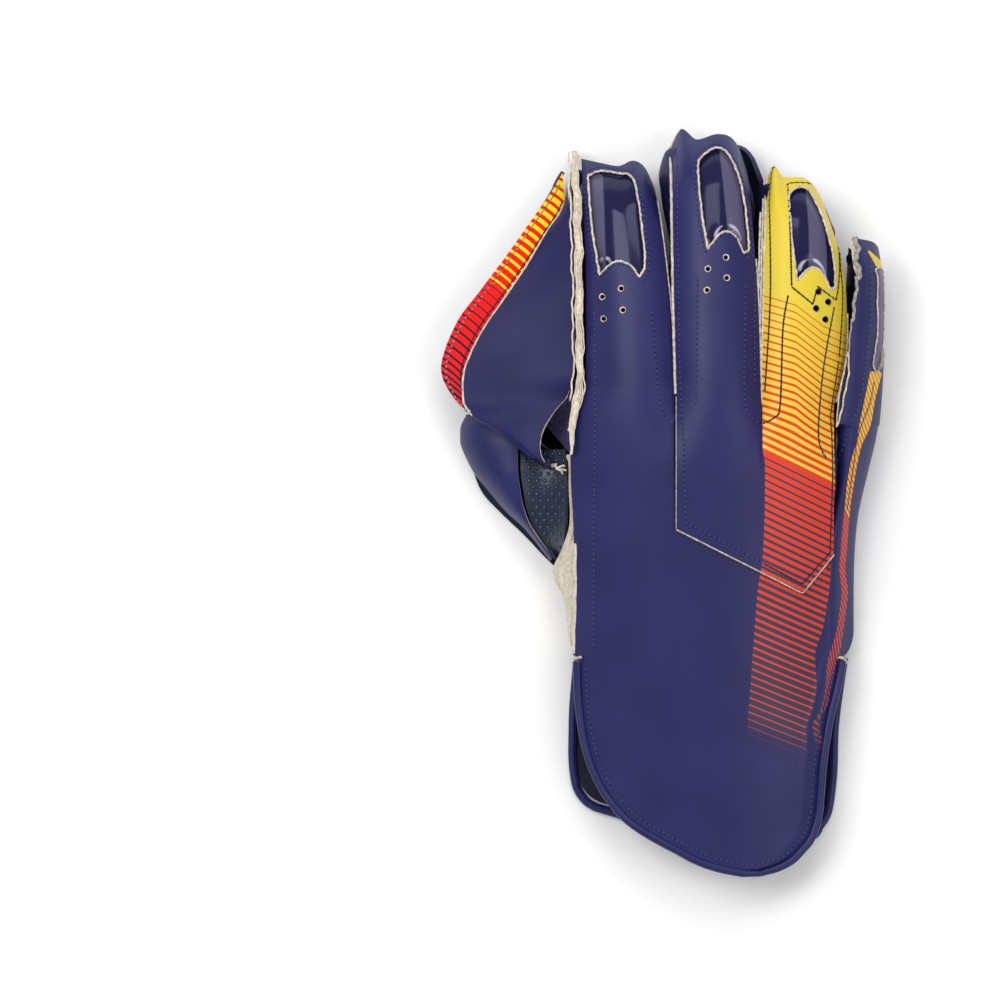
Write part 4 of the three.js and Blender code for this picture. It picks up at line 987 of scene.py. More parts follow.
# Marks where each film gets its painted reflection and its painted highlight.
def cap_marks(name, i, j):
    across, along = cap_place(i, j)
    start, end, lean = PAINTED_REFLECTION_ZONES[name]
    lean *= along - 0.5
    at_x, at_y, radius, half = PAINTED_GLINTS[name]
    away = math.hypot(across - at_x, (along - at_y) * GLINT_ASPECT)
    half *= 0.65 + 0.4 * math.sin(2.6 * math.atan2(along - at_y, across - at_x) - 0.4)
    crease = min(half - abs(away - radius), along - at_y + 0.02)
    return {"haze": min(across - start - lean, end + lean - across), "crease": crease}


for finger_name in ("index", "middle", "ring"):
    cap = pressed_sheet(
        f"tip_cap_{finger_name}", CAP_COLUMNS, CAP_ROWS, lambda i, j: cap_spot(finger_name, i, j), CAP_WALL,
        [cap_film, cap_film], marks=lambda i, j: cap_marks(finger_name, i, j))
    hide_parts(f"cap_{finger_name}")
    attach(cap, "root")

# x, y, right x: the narrow window in the little finger's side, shown edge on
LITTLE_WINDOW = [
    (122.2, 73.9, 75), (125, 72.8, 76.2), (131, 73.9, 77), (140, 74.7, 77.6), (152, 74.3, 77.8),
    (161, 74.7, 77.6), (166, 74.2, 77.2),
]


def little_at(x, y, raise_mm):
    """The place on the little finger's rolled side under a spot drawn in plan."""
    root = FINGERS["little"]["root"] * HAND_LENGTH
    nearest = None
    for turn in range(0, 90, 2):
        reach = FINGERS["little"]["length"] - read(FINGER_TIPS["little"], 1, turn / ROLL_END) * TIP_DEPTH
        spot = Vector(little_side(turn, (y - root) / reach))
        if nearest is None or abs(spot.x - x) < abs(nearest.x - x):
            nearest = spot
            facing = Vector((math.sin(math.radians(turn)), 0, math.cos(math.radians(turn))))
    return nearest + facing * raise_mm


def little_film_spot(i, j):
    y = mix(LITTLE_WINDOW[0][0], LITTLE_WINDOW[-1][0], j / 30)
    return tuple(little_at(mix(read(LITTLE_WINDOW, 1, y), read(LITTLE_WINDOW, 2, y), i / 6), y, 0.25))


# the whole side film takes the paler colour of the painted reflection
little_film = pressed_sheet("little_side_film", 7, 31, little_film_spot, 0.4, [cap_film, cap_film],
    marks=lambda i, j: {"haze": 0.05, "crease": 0})
little_rim = [little_at(x, y, 0.3) for y, x, _ in LITTLE_WINDOW]
little_rim += [little_at(x, y, 0.3) for y, _, x in reversed(LITTLE_WINDOW)]
little_film = joined("little_side_film", [
    little_film, strand("little_rim", little_rim, 0.36, CUT_EDGE, steps=5, closed=True, uneven=0.14)])
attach(little_film, "root")

# Finger walls: strips of the same leather, blue side out, join each finger's
# back to its palm, up one side, over the tip and down the other. They bulge out
# beside the tips, where the padded palm is wider than the back.
RAW_EDGE = 2.4
WALL_ALONG = [0.06, 0.2, 0.36, 0.52, 0.68, 0.8, 0.9]
WALL_TIP = 0.955
LITTLE_TIP = 0.92
WALL_ROWS = 9
# along, bulge on the thumb side, bulge on the other side
WALL_BULGE = {
    "index": [(0, 0, 0), (0.5, 0.5, 0.8), (0.8, 1, 1), (1, 1, 0.5)],
    "middle": [(0, 0, 0.5), (0.55, 2.5, 1.5), (0.8, 7.5, 1), (0.93, 8, 0.5), (1, 4, 0.5)],
    "ring": [(0, 0, 0), (0.55, 2, 1), (0.8, 5.5, 1), (0.93, 6.5, 0.5), (1, 3, 0.5)],
    "little": [(0, 0, 0), (0.5, 0.5, 0.5), (1, 0.5, 0.5)],
}
# along, left, right: shares of the finger's length on the palm and the hand's width
PALM_EDGES = {
    "index": [(0, -0.565, -0.146), (1, -0.505, -0.18)],
    "middle": [(0, -0.136, 0.208), (1, -0.105, 0.235)],
    "ring": [(0, 0.218, 0.53), (1, 0.255, 0.51)],
    "little": [(0, 0.54, 0.635), (1, 0.565, 0.625)],
}
PALM_TIP_RISE = 9
PIMPLE_RISE = 0.6
PALM_TIP_BACK = 4


def palm_finger(name, across, along):
    finger = FINGERS[name]
    tip = finger["root"] * HAND_LENGTH + finger["length"] - PALM_TIP_BACK
    tip -= read(FINGER_TIPS[name], 1, across) * TIP_DEPTH
    y = mix(finger["palm_root"] * HAND_LENGTH, tip, along)
    edges = PALM_EDGES[name]
    x = mix(read(edges, 1, along), read(edges, 2, along), across) * HAND_WIDTH
    lift = finger["curl"] * PALM_TIP_RISE * max(0, (along - 0.55) / 0.45) ** 2
    return x, y, PIMPLE_RISE + palm_under(y) + lift


def wall_top(name, across, along):
    if name == "little":
        turn = ROLL_END * across * 0.56
        x, y, z = little_side(turn, min(along, LITTLE_TIP))
        inward = mix(RAW_EDGE * 0.6, -LEATHER_WALL * 1.4, ease(0, 0.15, across))
        return Vector((x + inward, y, z - LEATHER_WALL * mix(1, 1.4, ease(0, 0.15, across))))
    x, y, z = finger_back(name, across, along)
    raise_mm = 0 if name == "index" else OVERLAY_RAISE
    return Vector((x, y, z + raise_mm - LEATHER_WALL - 0.2))


def wall_path(name):
    if name == "little":
        side = [(0, along) for along in WALL_ALONG]
        return side + [(across, LITTLE_TIP) for across in (0.18, 0.48, 0.77, 1)]
    inset = RAW_EDGE / (0.32 * HAND_WIDTH)
    up = [(inset, along) for along in WALL_ALONG]
    tip = [(across, WALL_TIP) for across in (0.25, 0.5, 0.75)]
    down = [(1 - inset, along) for along in reversed(WALL_ALONG)]
    return up + tip + down


def finger_wall(name, finish):
    path = run_through([(across, along, 0) for across, along in wall_path(name)], 5)
    finger = FINGERS[name]
    start = finger["palm_root"] * HAND_LENGTH
    end = finger["root"] * HAND_LENGTH + finger["length"]

    def wall_spot(i, j):
        top = wall_top(name, path[i].x, path[i].y)
        on_palm = min(0.94, max(0.03, (top.y - start) / (end - start)))
        foot = Vector(palm_finger(name, path[i].x, on_palm))
        foot.z += RUBBER_WALL - PIMPLE_RISE + 0.2
        spot = foot.lerp(top, j / (WALL_ROWS - 1))
        side = 1 if path[i].x < 0.5 else 2
        bulge = read(WALL_BULGE[name], side, path[i].y) * math.sin(math.pi * j / (WALL_ROWS - 1))
        return spot.x + (bulge if side == 2 else -bulge), spot.y, spot.z

    wall = pressed_sheet(f"finger_wall_{name}", len(path), WALL_ROWS, wall_spot, FABRIC_WALL,
        [finish, finish, INNER_FACE], face=-1)
    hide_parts(f"wall_{name}")
    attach(wall, "root")


# The walls take a darker copy of the blue leather: painted shade between the fingers.
SHADED_WALL_LEATHER = smooth_leather("finger_wall_leather_painted_shade", (0.006, 0.006, 0.04, 1), NAVY)
for finger_name in FINGERS:
    finger_wall(finger_name, SHADED_WALL_LEATHER)

# Raw edges: the backs, walls and palms are cut a little proud of their seams,
# and two or three pale cut edges show beside each finger, unevenly trimmed.
# finger, side, along from, along to, half width, height, distance out, unevenness
RAW_EDGES = [
    ("index", 1, 0.02, 0.93, 0.35, 1, 0.3, 0.06),
    ("middle", 0, 0.0, 0.99, 0.6, 1.6, 0.4, 0.1),
    ("middle", 1, 0.05, 0.6, 0.35, 1, 0.3, 0.06),
    ("ring", 0, 0.0, 0.98, 0.45, 1.4, 0.2, 0.08),
    ("ring", 0, 0.0, 0.92, 0.4, 1.4, 1.2, 0.1),
    ("ring", 0, 0.02, 0.86, 0.45, 1.4, 2.2, 0.16),
    ("ring", 1, 0.02, 0.5, 0.4, 1.2, 0.4, 0.1),
]


def finger_edge_row(name, side, start, end, out):
    row = []
    for k in range(61):
        x, y, z = finger_back(name, side, mix(start, end, k / 60))
        raise_mm = 0 if name == "index" else OVERLAY_RAISE
        row.append((x + (out if side else -out), y, z + raise_mm - LEATHER_WALL / 2 - out * 0.4))
    if end > 0.95:
        tip = [finger_back(name, across / 100, 1) for across in range(3, 14, 2)]
        row += [(x, y - 0.6, z + OVERLAY_RAISE - LEATHER_WALL / 2) for x, y, z in tip]
    return row


GREY_EDGE = pale_suede("grey_cut_edge", (0.4, 0.37, 0.34, 1), (0.2, 0.18, 0.17, 1))
raw_edges = [
    strand(
        "raw_edge", finger_edge_row(name, side, start, end, out), half, CUT_EDGE, stand_mm=stand,
        uneven=uneven)
    for name, side, start, end, half, stand, out, uneven in RAW_EDGES
]
# low y, high y, distance out, bow, half width, height, sway, finish of the little finger's edges
LITTLE_RAW = [
    (173, 183.5, -0.4, 0, 0.75, 1.5, 0.25, GREY_EDGE), (157, 174, -0.3, 0, 1, 1.6, 0.75, GREY_EDGE),
    (140, 158, 0.2, 0, 0.65, 1.4, 0.35, GREY_EDGE), (127, 141, 0.5, 0, 0.35, 1, 0.12, GREY_EDGE),
    (98, 128, 0.5, 1.9, 0.34, 1, 0.12, CUT_EDGE), (98, 128, 0.5, -0.5, 0.4, 1.2, 0.3, CUT_EDGE),
    # the last row is a dark strip in the inner finish, standing for the shade in the gap beside the little
    # finger: painted shade
    (100, 126, 0.6, 0.7, 0.8, 0.2, 0, INNER_FACE),
]


def little_raw_row(low, high, out, bow, sway):
    row = []
    little = FINGERS["little"]
    for k in range(31):
        share = k / 30
        along = (mix(low, high, share) - little["root"] * HAND_LENGTH) / (little["length"] - TIP_DEPTH * 0.5)
        x, y, z = little_side(0, min(0.99, along))
        wave = sway * (math.sin(k * 0.36) + 0.45 * math.sin(k * 0.95))
        row.append((x - out - bow * math.sin(math.pi * share) + wave, y, z - 0.4 + 0.3 * wave))
    return row


for low, high, out, bow, half, stand, sway, finish in LITTLE_RAW:
    raw_edges.append(strand(
        "raw_edge", little_raw_row(low, high, out, bow, sway), half, finish, stand_mm=stand, uneven=0.06))
raw_edges.append(strand(
    "frayed_patch", [little_at(76.9, 130.5, 0.5), little_at(76.6, 127, 0.8), little_at(75.3, 123, 0.5)], 0.95,
    GREY_EDGE, steps=5, uneven=0.25))
raw_edge = joined("raw_seam_edges", raw_edges)
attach(raw_edge, "root")

# Palm: moulded rubber with small round pimples in close rows and a few broad
# rings pressed round the catching hollow. It is sewn to the walls round its edge.
PALM_LEFT = [
    (-0.05, -0.122), (0.06, -0.122), (0.21, -0.138), (0.38, -0.19), (0.52, -0.276), (0.6, -0.315),
    (0.7, -0.27), (0.76, -0.33), (0.82, -0.5), (0.97, -0.54), (1.34, -0.565),
]
RUBBER_BLUE = (0.028, 0.022, 0.085, 1)
RUBBER_PALE = (0.05, 0.042, 0.13, 1)
PALM_HAND_ROWS = 70
PALM_FINGER_ROWS = 40
PALM_COLUMNS = [
    (name, i / count) for name, count in (("index", 22), ("middle", 20), ("ring", 18), ("little", 6))
    for i in range(count + 1)
]
# middle x, middle y, radius and width of the pressed rings
PALM_RINGS = [(2, 97, 12), (2, 97, 20), (2, 97, 28), (-2, 28, 12), (-2, 28, 20), (-2, 28, 28)]


def palm_press(x, y):
    """Depth of the rings pressed into the palm's underside."""
    depth = 0
    for middle_x, middle_y, radius in PALM_RINGS:
        away = abs(math.hypot(x - middle_x, y - middle_y) - radius)
        depth += 0.7 * (1 - ease(0, 2.5, away))
    return depth


PIMPLE = Vector((1.7, 1.7, 1.2))
PIMPLE_PITCH = 3
# left, right, low, high in plan: the field in which each piece's pimples lie
PIMPLE_FIELDS = {
    "palm": (-66, 80, 2, 226), "thumb": (-102, -15, 0, 105), "mesh": (-90, -50, 15, 100),
    "web_root": (-78, -52, 84, 120),
}


def pimples(rubber_piece, left, right, low, high, upper=False, pitch=PIMPLE_PITCH, form=PIMPLE, finish=None):
    """Rows of round pimples on one face, wherever the piece reaches a little way round them."""
    start, down = (90, -1) if upper else (-5, 1)
    bpy.context.view_layer.update()
    frames = []
    for j in range(int((high - low) / (pitch * 0.866))):
        for i in range(int((right - left) / pitch)):
            x = left + (i + 0.5 * (j % 2)) * pitch
            y = low + j * pitch * 0.866
            around = [(x + dx, y + dy) for dx, dy in ((1.6, 0), (-1.6, 0), (0, 1.6), (0, -1.6), (0, 0))]
            found = [
                rubber_piece.ray_cast(place(near_x, near_y, start), (0, 0, down)) for near_x, near_y in around
            ]
            if all(hit and facing.z * down < -0.35 for hit, _, facing, _ in found):
                _, ground, facing, _ = found[-1]
                frames.append(set_in(ground, Vector((1, 0, 0)), facing, form))
    beads = scatter("pimples", finish or rubber_piece.data.materials[0], frames)
    return joined(rubber_piece.name, [rubber_piece, beads])


def palm_spot(i, j):
    name, across = PALM_COLUMNS[i]
    if j > PALM_HAND_ROWS:
        return palm_finger(name, across, (j - PALM_HAND_ROWS) / PALM_FINGER_ROWS)
    root_x, root_y, _ = palm_finger(name, across, 0)
    y = mix(0, root_y, j / PALM_HAND_ROWS)
    left = read(PALM_LEFT, 1, y / HAND_LENGTH) * HAND_WIDTH
    right = read(BACK_OUTLINE, 2, station(y)) * HAND_WIDTH - 0.45 * SIDE_ROLL
    root_left = palm_finger("index", 0, 0)[0]
    root_right = palm_finger("little", 1, 0)[0]
    x = mix(left, right, (root_x - root_left) / (root_right - root_left))
    return x, y, palm_under(y) + palm_press(x, y) + PIMPLE_RISE


def palm_has(i, j):
    return PALM_COLUMNS[i][0] == PALM_COLUMNS[i + 1][0] or j < PALM_HAND_ROWS


def rubber(name, dark=RUBBER_BLUE, pale=RUBBER_PALE):
    finish, tree, shader = new_finish(name, 0.6, 0.4)
    coords = grain(tree, shader, 0.5, 0.04, 0.4)
    cloud_paint(tree, shader, coords, 18, dark, pale)
    return finish


PALM_RUBBER = rubber("pimpled_rubber")
palm = pressed_sheet(
    "rubber_palm", len(PALM_COLUMNS), PALM_HAND_ROWS + PALM_FINGER_ROWS + 1, palm_spot,
    RUBBER_WALL - PIMPLE_RISE, [PALM_RUBBER, PALM_RUBBER, INNER_FACE], face=-1, has=palm_has)
palm = pimples(palm, *PIMPLE_FIELDS["palm"])
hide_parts("palm_face")
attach(palm, "root")

# Thumb: a pimpled rubber face below, a blue leather back rolled over it, and a
# coated mesh panel from the thumb's ridge to the side of the hand.
THUMB_ROOT = 0.465
THUMB_REACH = 54
# left x, left y, right x, right y: shares of the thumb's reach and the hand's length
THUMB_FACE = [
    (-0.6, 0.005, -0.665, 0.002), (-0.4, 0.085, -0.668, 0.07), (-0.088, 0.211, -0.636, 0.211),
    (0.239, 0.346, -0.52, 0.38), (0.462, 0.457, -0.345, 0.52), (0.661, 0.549, -0.167, 0.626),
    (0.804, 0.626, 0.064, 0.714), (0.884, 0.726, 0.302, 0.802), (0.915, 0.825, 0.501, 0.871),
    (0.884, 0.894, 0.661, 0.917),
]
# low edge x, y, ridge x, y, ridge height as a share of the thumb's depth
THUMB_BACK = [
    (0.26, 0.36, 0.235, 0.37, 0.5), (0.46, 0.48, 0.4, 0.48, 0.7), (0.605, 0.545, 0.463, 0.55, 0.84),
    (0.725, 0.61, 0.495, 0.625, 0.93), (0.855, 0.69, 0.518, 0.718, 0.98), (0.93, 0.755, 0.518, 0.787, 0.98),
    (0.98, 0.825, 0.518, 0.848, 0.95), (0.975, 0.88, 0.58, 0.9, 0.84), (0.93, 0.925, 0.7, 0.94, 0.55),
]
# thumb side x, y, hand side x, y, and the height of each
MESH = [
    (0.2, 0.37, 0.17, 0.36, 0.52, 0.62), (0.375, 0.48, 0.15, 0.44, 0.7, 0.95),
    (0.44, 0.55, 0.13, 0.55, 0.84, 1.1), (0.472, 0.625, 0.125, 0.633, 0.93, 1.15),
    (0.495, 0.718, 0.125, 0.7, 0.97, 1.12), (0.495, 0.787, 0.14, 0.79, 0.97, 1.1),
]
MESH_SAG = 2.5
MESH_BLUE = (0.004, 0.009, 0.024, 1)
MESH_PALE = (0.009, 0.019, 0.052, 1)


def thumb_x(share):
    return -THUMB_ROOT * HAND_WIDTH - share * THUMB_REACH


def row_of(rows, share):
    """One row worked out smoothly between a table's rows, share running from first to last."""
    numbered = [(n, *row) for n, row in enumerate(rows)]
    at = share * (len(rows) - 1)
    return [read(numbered, column, at) for column in range(1, len(numbered[0]))]


def thumb_face_spot(i, j):
    left_x, left_y, right_x, right_y = row_of(THUMB_FACE, j / 70)
    share = i / 26
    x = mix(thumb_x(left_x), thumb_x(right_x), share)
    return x, mix(left_y, right_y, share) * HAND_LENGTH, PIMPLE_RISE


def thumb_back_spot(i, j):
    out_x, out_y, ridge_x, ridge_y, top = row_of(THUMB_BACK, j / 60)
    base = RUBBER_WALL + SEAM_GAP
    turn = math.radians(90 * i / 20)
    share = 1 - math.cos(turn)
    x = mix(thumb_x(out_x), thumb_x(ridge_x), share)
    y = mix(out_y, ridge_y, share) * HAND_LENGTH
    return x, y, base + (top * THUMB_DEPTH - base) * math.sin(turn)


def mesh_spot(i, j):
    out_x, out_y, in_x, in_y, out_top, in_top = row_of(MESH, j / 40)
    share = i / 20
    sag = MESH_SAG * math.sin(math.pi * share)
    x = mix(thumb_x(out_x), thumb_x(in_x), share)
    y = mix(out_y, in_y, share) * HAND_LENGTH
    return x, y, mix(out_top, in_top, share) * THUMB_DEPTH - sag


THUMB_LEATHER = smooth_leather("thumb_leather")
thumb_face = pressed_sheet("thumb_face", 27, 71, thumb_face_spot, RUBBER_WALL - PIMPLE_RISE,
    [PALM_RUBBER, CUT_EDGE, INNER_FACE], face=-1)
thumb_face = pimples(thumb_face, *PIMPLE_FIELDS["thumb"])
thumb_back = pressed_sheet("thumb_back", 21, 61, thumb_back_spot, LEATHER_WALL,
    [THUMB_LEATHER, CUT_EDGE, INNER_FACE])

mesh_cloth, mesh_tree, mesh_shader = new_finish("coated_mesh", 0.3, 0.5)
mesh_coords = grain(mesh_tree, mesh_shader, 1.5, 0.3, 0.6)
cloud_paint(mesh_tree, mesh_shader, mesh_coords, 1.2, MESH_PALE, MESH_BLUE)
mesh_knob, knob_tree, knob_shader = new_finish("coated_knob", 0.16, 0.7)
grain(knob_tree, knob_shader, 0.6, 0.08, 0.5)
knob_shader.inputs["Base Color"].default_value = (0.01, 0.022, 0.06, 1)
mesh_panel = pressed_sheet("thumb_mesh", 21, 41, mesh_spot, FABRIC_WALL, [mesh_cloth, mesh_cloth])
mesh_panel = pimples(
    mesh_panel, *PIMPLE_FIELDS["mesh"], upper=True, pitch=3.3, form=Vector((2, 2, 1.5)), finish=mesh_knob)
for piece, node, slot_name in (
    (thumb_face, "thumb_face", "palm_rubber"), (thumb_back, "thumb_back", "navy_leather"),
    (mesh_panel, "mesh_panel", "mesh_fabric"),
):
    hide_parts(node)
    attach(piece, "root")

# Side gusset and crotch: soft pale leather gathers between thumb and wrist, and
# a wall of it runs round the crotch, with black lining cloth above it.
# edge y, belly x, belly height, low x, low y, low height
GUSSET = [
    (0.03, 0.04, 0.56, -0.46, 0.02, 0.27), (0.12, 0.09, 0.6, -0.2, 0.13, 0.27),
    (0.22, 0.15, 0.64, 0.05, 0.235, 0.27), (0.32, 0.22, 0.7, 0.2, 0.3, 0.42),
    (0.41, 0.15, 0.95, 0.115, 0.41, 0.8), (0.52, 0.09, 1.1, 0.1, 0.52, 0.98),
    (0.65, 0.1, 1.16, 0.09, 0.65, 1.1), (0.77, 0.105, 1.14, 0.105, 0.77, 1.1),
]
# low x, low y, top x, top y: shares of the hand's width and length; top height
CROTCH = [
    (-0.765, 0.9, -0.76, 0.9, 0.6), (-0.7, 0.86, -0.7, 0.86, 0.8), (-0.61, 0.79, -0.64, 0.8, 0.84),
    (-0.5, 0.7, -0.54, 0.76, 0.9), (-0.37, 0.615, -0.465, 0.745, 1.12), (-0.25, 0.66, -0.445, 0.785, 1.16),
    (-0.26, 0.76, -0.443, 0.83, 1.18), (-0.38, 0.83, -0.443, 0.88, 1.2), (-0.49, 0.9, -0.438, 0.93, 1.22),
]
CHAMOIS_SHARE = 0.45


def gusset_spot(i, j):
    top_y, belly_x, belly_top, low_x, low_y, low_top = row_of(GUSSET, j / 60)
    y = top_y * HAND_LENGTH
    edge = read(BACK_OUTLINE, 1, top_y) * HAND_WIDTH + 1
    top = Vector((edge, y, back_height(edge, y) - LEATHER_WALL * 1.5 - SEAM_GAP))
    belly = Vector((thumb_x(belly_x), y, belly_top * THUMB_DEPTH))
    low = Vector((thumb_x(low_x), low_y * HAND_LENGTH, low_top * THUMB_DEPTH))
    share = 1 - i / 30
    spot = top * ((1 - share) * (1 - 2 * share)) + belly * (4 * share * (1 - share))
    spot += low * (share * (2 * share - 1))
    fold = 0.5 * math.sin(share * 22 + j * 0.03) * math.sin(math.pi * share)
    return spot.x - fold, spot.y, spot.z + fold * 0.6


def crotch_spot(i, j, start):
    low_x, low_y, top_x, top_y, top_z = row_of(CROTCH, i / 56)
    low = Vector((low_x * HAND_WIDTH, low_y * HAND_LENGTH, RUBBER_WALL + 3 * SEAM_GAP))
    top = Vector((top_x * HAND_WIDTH, top_y * HAND_LENGTH, top_z * THUMB_DEPTH))
    pucker = 0.35 * math.sin(i * 0.9) * math.sin(math.pi * j / 10)
    spot = low.lerp(top, start + CHAMOIS_SHARE * j / 10)
    return spot.x + pucker, spot.y - pucker, spot.z


CHAMOIS = pale_suede("pale_chamois", (0.68, 0.62, 0.52, 1), (0.52, 0.46, 0.37, 1))
# Black lining cloth; its near-black also stands for the shade in the crotch's hollow, so it is partly painted
# shade.
lining_cloth_and_shade, lining_tree, lining_shader = new_finish("black_lining_and_painted_shade", 0.9, 0.08)
lining_coords = grain(lining_tree, lining_shader, 0.4, 0.1, 0.6)
cloud_paint(
    lining_tree, lining_shader, lining_coords, 2, (0.002, 0.002, 0.003, 1), (0.01, 0.01, 0.014, 1))
gusset = pressed_sheet("thumb_side_gusset", 31, 61, gusset_spot, FABRIC_WALL, [CHAMOIS, CHAMOIS])
crotch_low = pressed_sheet(
    "crotch_chamois", 57, 11, lambda i, j: crotch_spot(i, j, 0), FABRIC_WALL, [CHAMOIS, CHAMOIS])
crotch_top = pressed_sheet(
    "crotch_lining", 57, 11, lambda i, j: crotch_spot(i, j, CHAMOIS_SHARE + 0.03), FABRIC_WALL,
    [lining_cloth_and_shade, lining_cloth_and_shade])
gusset_strip = []
for k in range(21):
    y = mix(0.5, 48, k / 20)
    x = read(BACK_OUTLINE, 1, y / HAND_LENGTH) * HAND_WIDTH
    gusset_strip.append((x + 0.7 + 0.3 * math.sin(k * 1.1), y, back_height(x, y) - 0.1))
gusset = joined("thumb_side_gusset", [
    gusset, strand("gusset_strip", gusset_strip, 1.05, CHAMOIS, steps=3, uneven=0.06)])
for piece, node, slot_name in (
    (gusset, "gusset_thumb_side", "cream_leather"), (crotch_low, "crotch_chamois", "cream_leather"),
    (crotch_top, "crotch_lining", "dark_lining"),
):
    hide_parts(node)
    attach(piece, "root")

# Web: blue leather outside and rubber inside stretch from the thumb to the
# index fingertip. A printed trim is sewn under the leather's cut outer edge.
WEB_REACH = 62
WEB_HEIGHT = 136
WEB_START = 0.72
WEB_WALL = 1.8
TRIM_DROP = 3
TRIM_LAP = 3
# inner x, y, line x, y, height, outer x, y: shares of the web's reach and height
WEB = [
    (0.2, 0.0, 0.277, 0.008, 1.3), (0.272, 0.012, 0.368, 0.044, 1.3), (0.31, 0.06, 0.506, 0.089, 1.29),
    (0.29, 0.117, 0.631, 0.126, 1.27), (0.21, 0.178, 0.766, 0.163, 1.22), (0.118, 0.23, 0.842, 0.218, 1.08),
    (0.08, 0.313, 0.832, 0.311, 0.98), (0.072, 0.44, 0.715, 0.43, 0.9), (0.072, 0.566, 0.555, 0.537, 0.86),
    (0.076, 0.692, 0.395, 0.645, 0.82), (0.08, 0.8, 0.255, 0.752, 0.78), (0.11, 0.85, 0.175, 0.803, 0.72),
    (0.12, 0.9, 0.135, 0.842, 0.66),
]
WEB_TRIM = [
    (0.82, 0.18), (0.92, 0.228), (0.997, 0.315), (0.895, 0.455), (0.72, 0.565), (0.54, 0.675), (0.37, 0.785),
    (0.23, 0.875), (0.15, 0.938),
]
WEB_ROWS = 90
TRIM_FROM = len(WEB) - len(WEB_TRIM)


def web_x(share):
    return FINGER_EDGES["index"][0][1] * HAND_WIDTH - 0.6 - share * WEB_REACH


def web_y(share):
    return WEB_START * HAND_LENGTH + share * WEB_HEIGHT


def web_ends(share):
    """The web's edge by the finger and its cut edge, share running up from the thumb."""
    in_x, in_y, line_x, line_y, top = row_of(WEB, share)
    y = web_y(in_y)
    along = (y - FINGERS["index"]["root"] * HAND_LENGTH) / FINGERS["index"]["length"]
    edge = finger_back("index", 0, max(along, -0.05))[2] - 2.5
    inner = Vector((web_x(in_x), y, mix(top * THUMB_DEPTH, edge, ease(0.15, 0.3, in_y))))
    return inner, Vector((web_x(line_x), web_y(line_y), top * THUMB_DEPTH)), in_y


def web_hollow(share, up):
    """How far the leather sinks between its two edges, and its soft creases."""
    hollow = 3.2 * math.sin(math.pi * share) * math.sin(math.pi * min(1, up * 1.2))
    return hollow + 0.5 * math.sin(up * 24 + share * 5)


def web_spot(i, j):
    up = j / WEB_ROWS
    inner, line, _ = web_ends(up)
    share = 1 - i / 44
    spot = inner.lerp(line, share)
    return spot.x, spot.y, spot.z - web_hollow(share, up) * 0.5


def trim_ends(j, rows):
    up = (TRIM_FROM + (len(WEB_TRIM) - 1) * j / rows) / (len(WEB) - 1)
    _, line, _ = web_ends(up)
    out_x, out_y = row_of(WEB_TRIM, j / rows)
    out = Vector((web_x(out_x), web_y(out_y), line.z - TRIM_DROP))
    return line, out


def trim_spot(i, j):
    line, out = trim_ends(j, 160)
    inward = (line - out) * Vector((1, 1, 0))
    start = line + inward.normalized() * TRIM_LAP - Vector((0, 0, WEB_WALL + LAP_GAP))
    end = out - Vector((0, 0, WEB_WALL))
    return tuple(end.lerp(start, i / 10))


def web_rubber_spot(i, j):
    up = j / WEB_ROWS
    inner, line, in_y = web_ends(up)
    drop = 2 * WEB_WALL + LAP_GAP + SEAM_GAP + 0.6
    lift = ease(0.15, 0.34, in_y)
    inner.x -= 5 * lift
    on_palm = palm_under(inner.y) + RUBBER_WALL + WEB_WALL + 2 * SEAM_GAP
    inner.z = mix(inner.z - drop, on_palm, lift)
    end = line - Vector((0, 0, drop))
    trim_share = up * (len(WEB) - 1) - TRIM_FROM
    if trim_share >= 0:
        out_x, out_y = row_of(WEB_TRIM, trim_share / (len(WEB_TRIM) - 1))
        end = Vector((web_x(out_x) + 1, web_y(out_y), line.z - TRIM_DROP - drop))
    return tuple(end.lerp(inner, i / 44))


# left, right, low, high in plan: the floor of the web beside the index finger
ROOT_LEFT, ROOT_RIGHT, ROOT_LOW, ROOT_HIGH = -77, -53, 83, 119
ROOT_RISE = 15


def web_root_spot(i, j, on_lining):
    """The floor of the web: lining, and rubber over the slanting half by the finger."""
    y = mix(ROOT_LOW, ROOT_HIGH, j / 42)
    left = max(ROOT_LEFT, -67 - (y - 98) / 1.18) if on_lining else ROOT_LEFT
    x = mix(min(left, ROOT_RIGHT - 1), ROOT_RIGHT, i / 28)
    rise = ROOT_RISE * ((x - ROOT_LEFT) / (ROOT_RIGHT - ROOT_LEFT)) ** 2
    return x, y, palm_under(y) + RUBBER_WALL + 1.2 + rise + (0.7 if on_lining else 0)


# place along the trim in millimetres of run, stripe count, level of the print
TRIM_RUN = [
    (7, -2, 1.9), (11.3, 0, 1.8), (13.1, 1, 1.7), (15, 2, 1.62), (17.2, 3, 1.55), (22.3, 5, 1.42),
    (53.3, 14, 1.04), (58, 15.4, 1.001), (58.3, 15.1, 0.998), (111.3, 30, 0.1), (118, 31.9, 0),
]
TRIM_LEAN = math.radians(48)


def trim_mark(i, j):
    """Stripe count and level of the trim's print; the stripes cross it at one slant, a little bowed."""
    x, y, _ = trim_spot(i, j)
    across = i / 10
    run = x * math.cos(TRIM_LEAN) + y * math.sin(TRIM_LEAN) - 2.8 * across * (1 - across)
    return {"band": 1, "stripe": read_straight(TRIM_RUN, 1, run), "level": read_straight(TRIM_RUN, 2, run)}


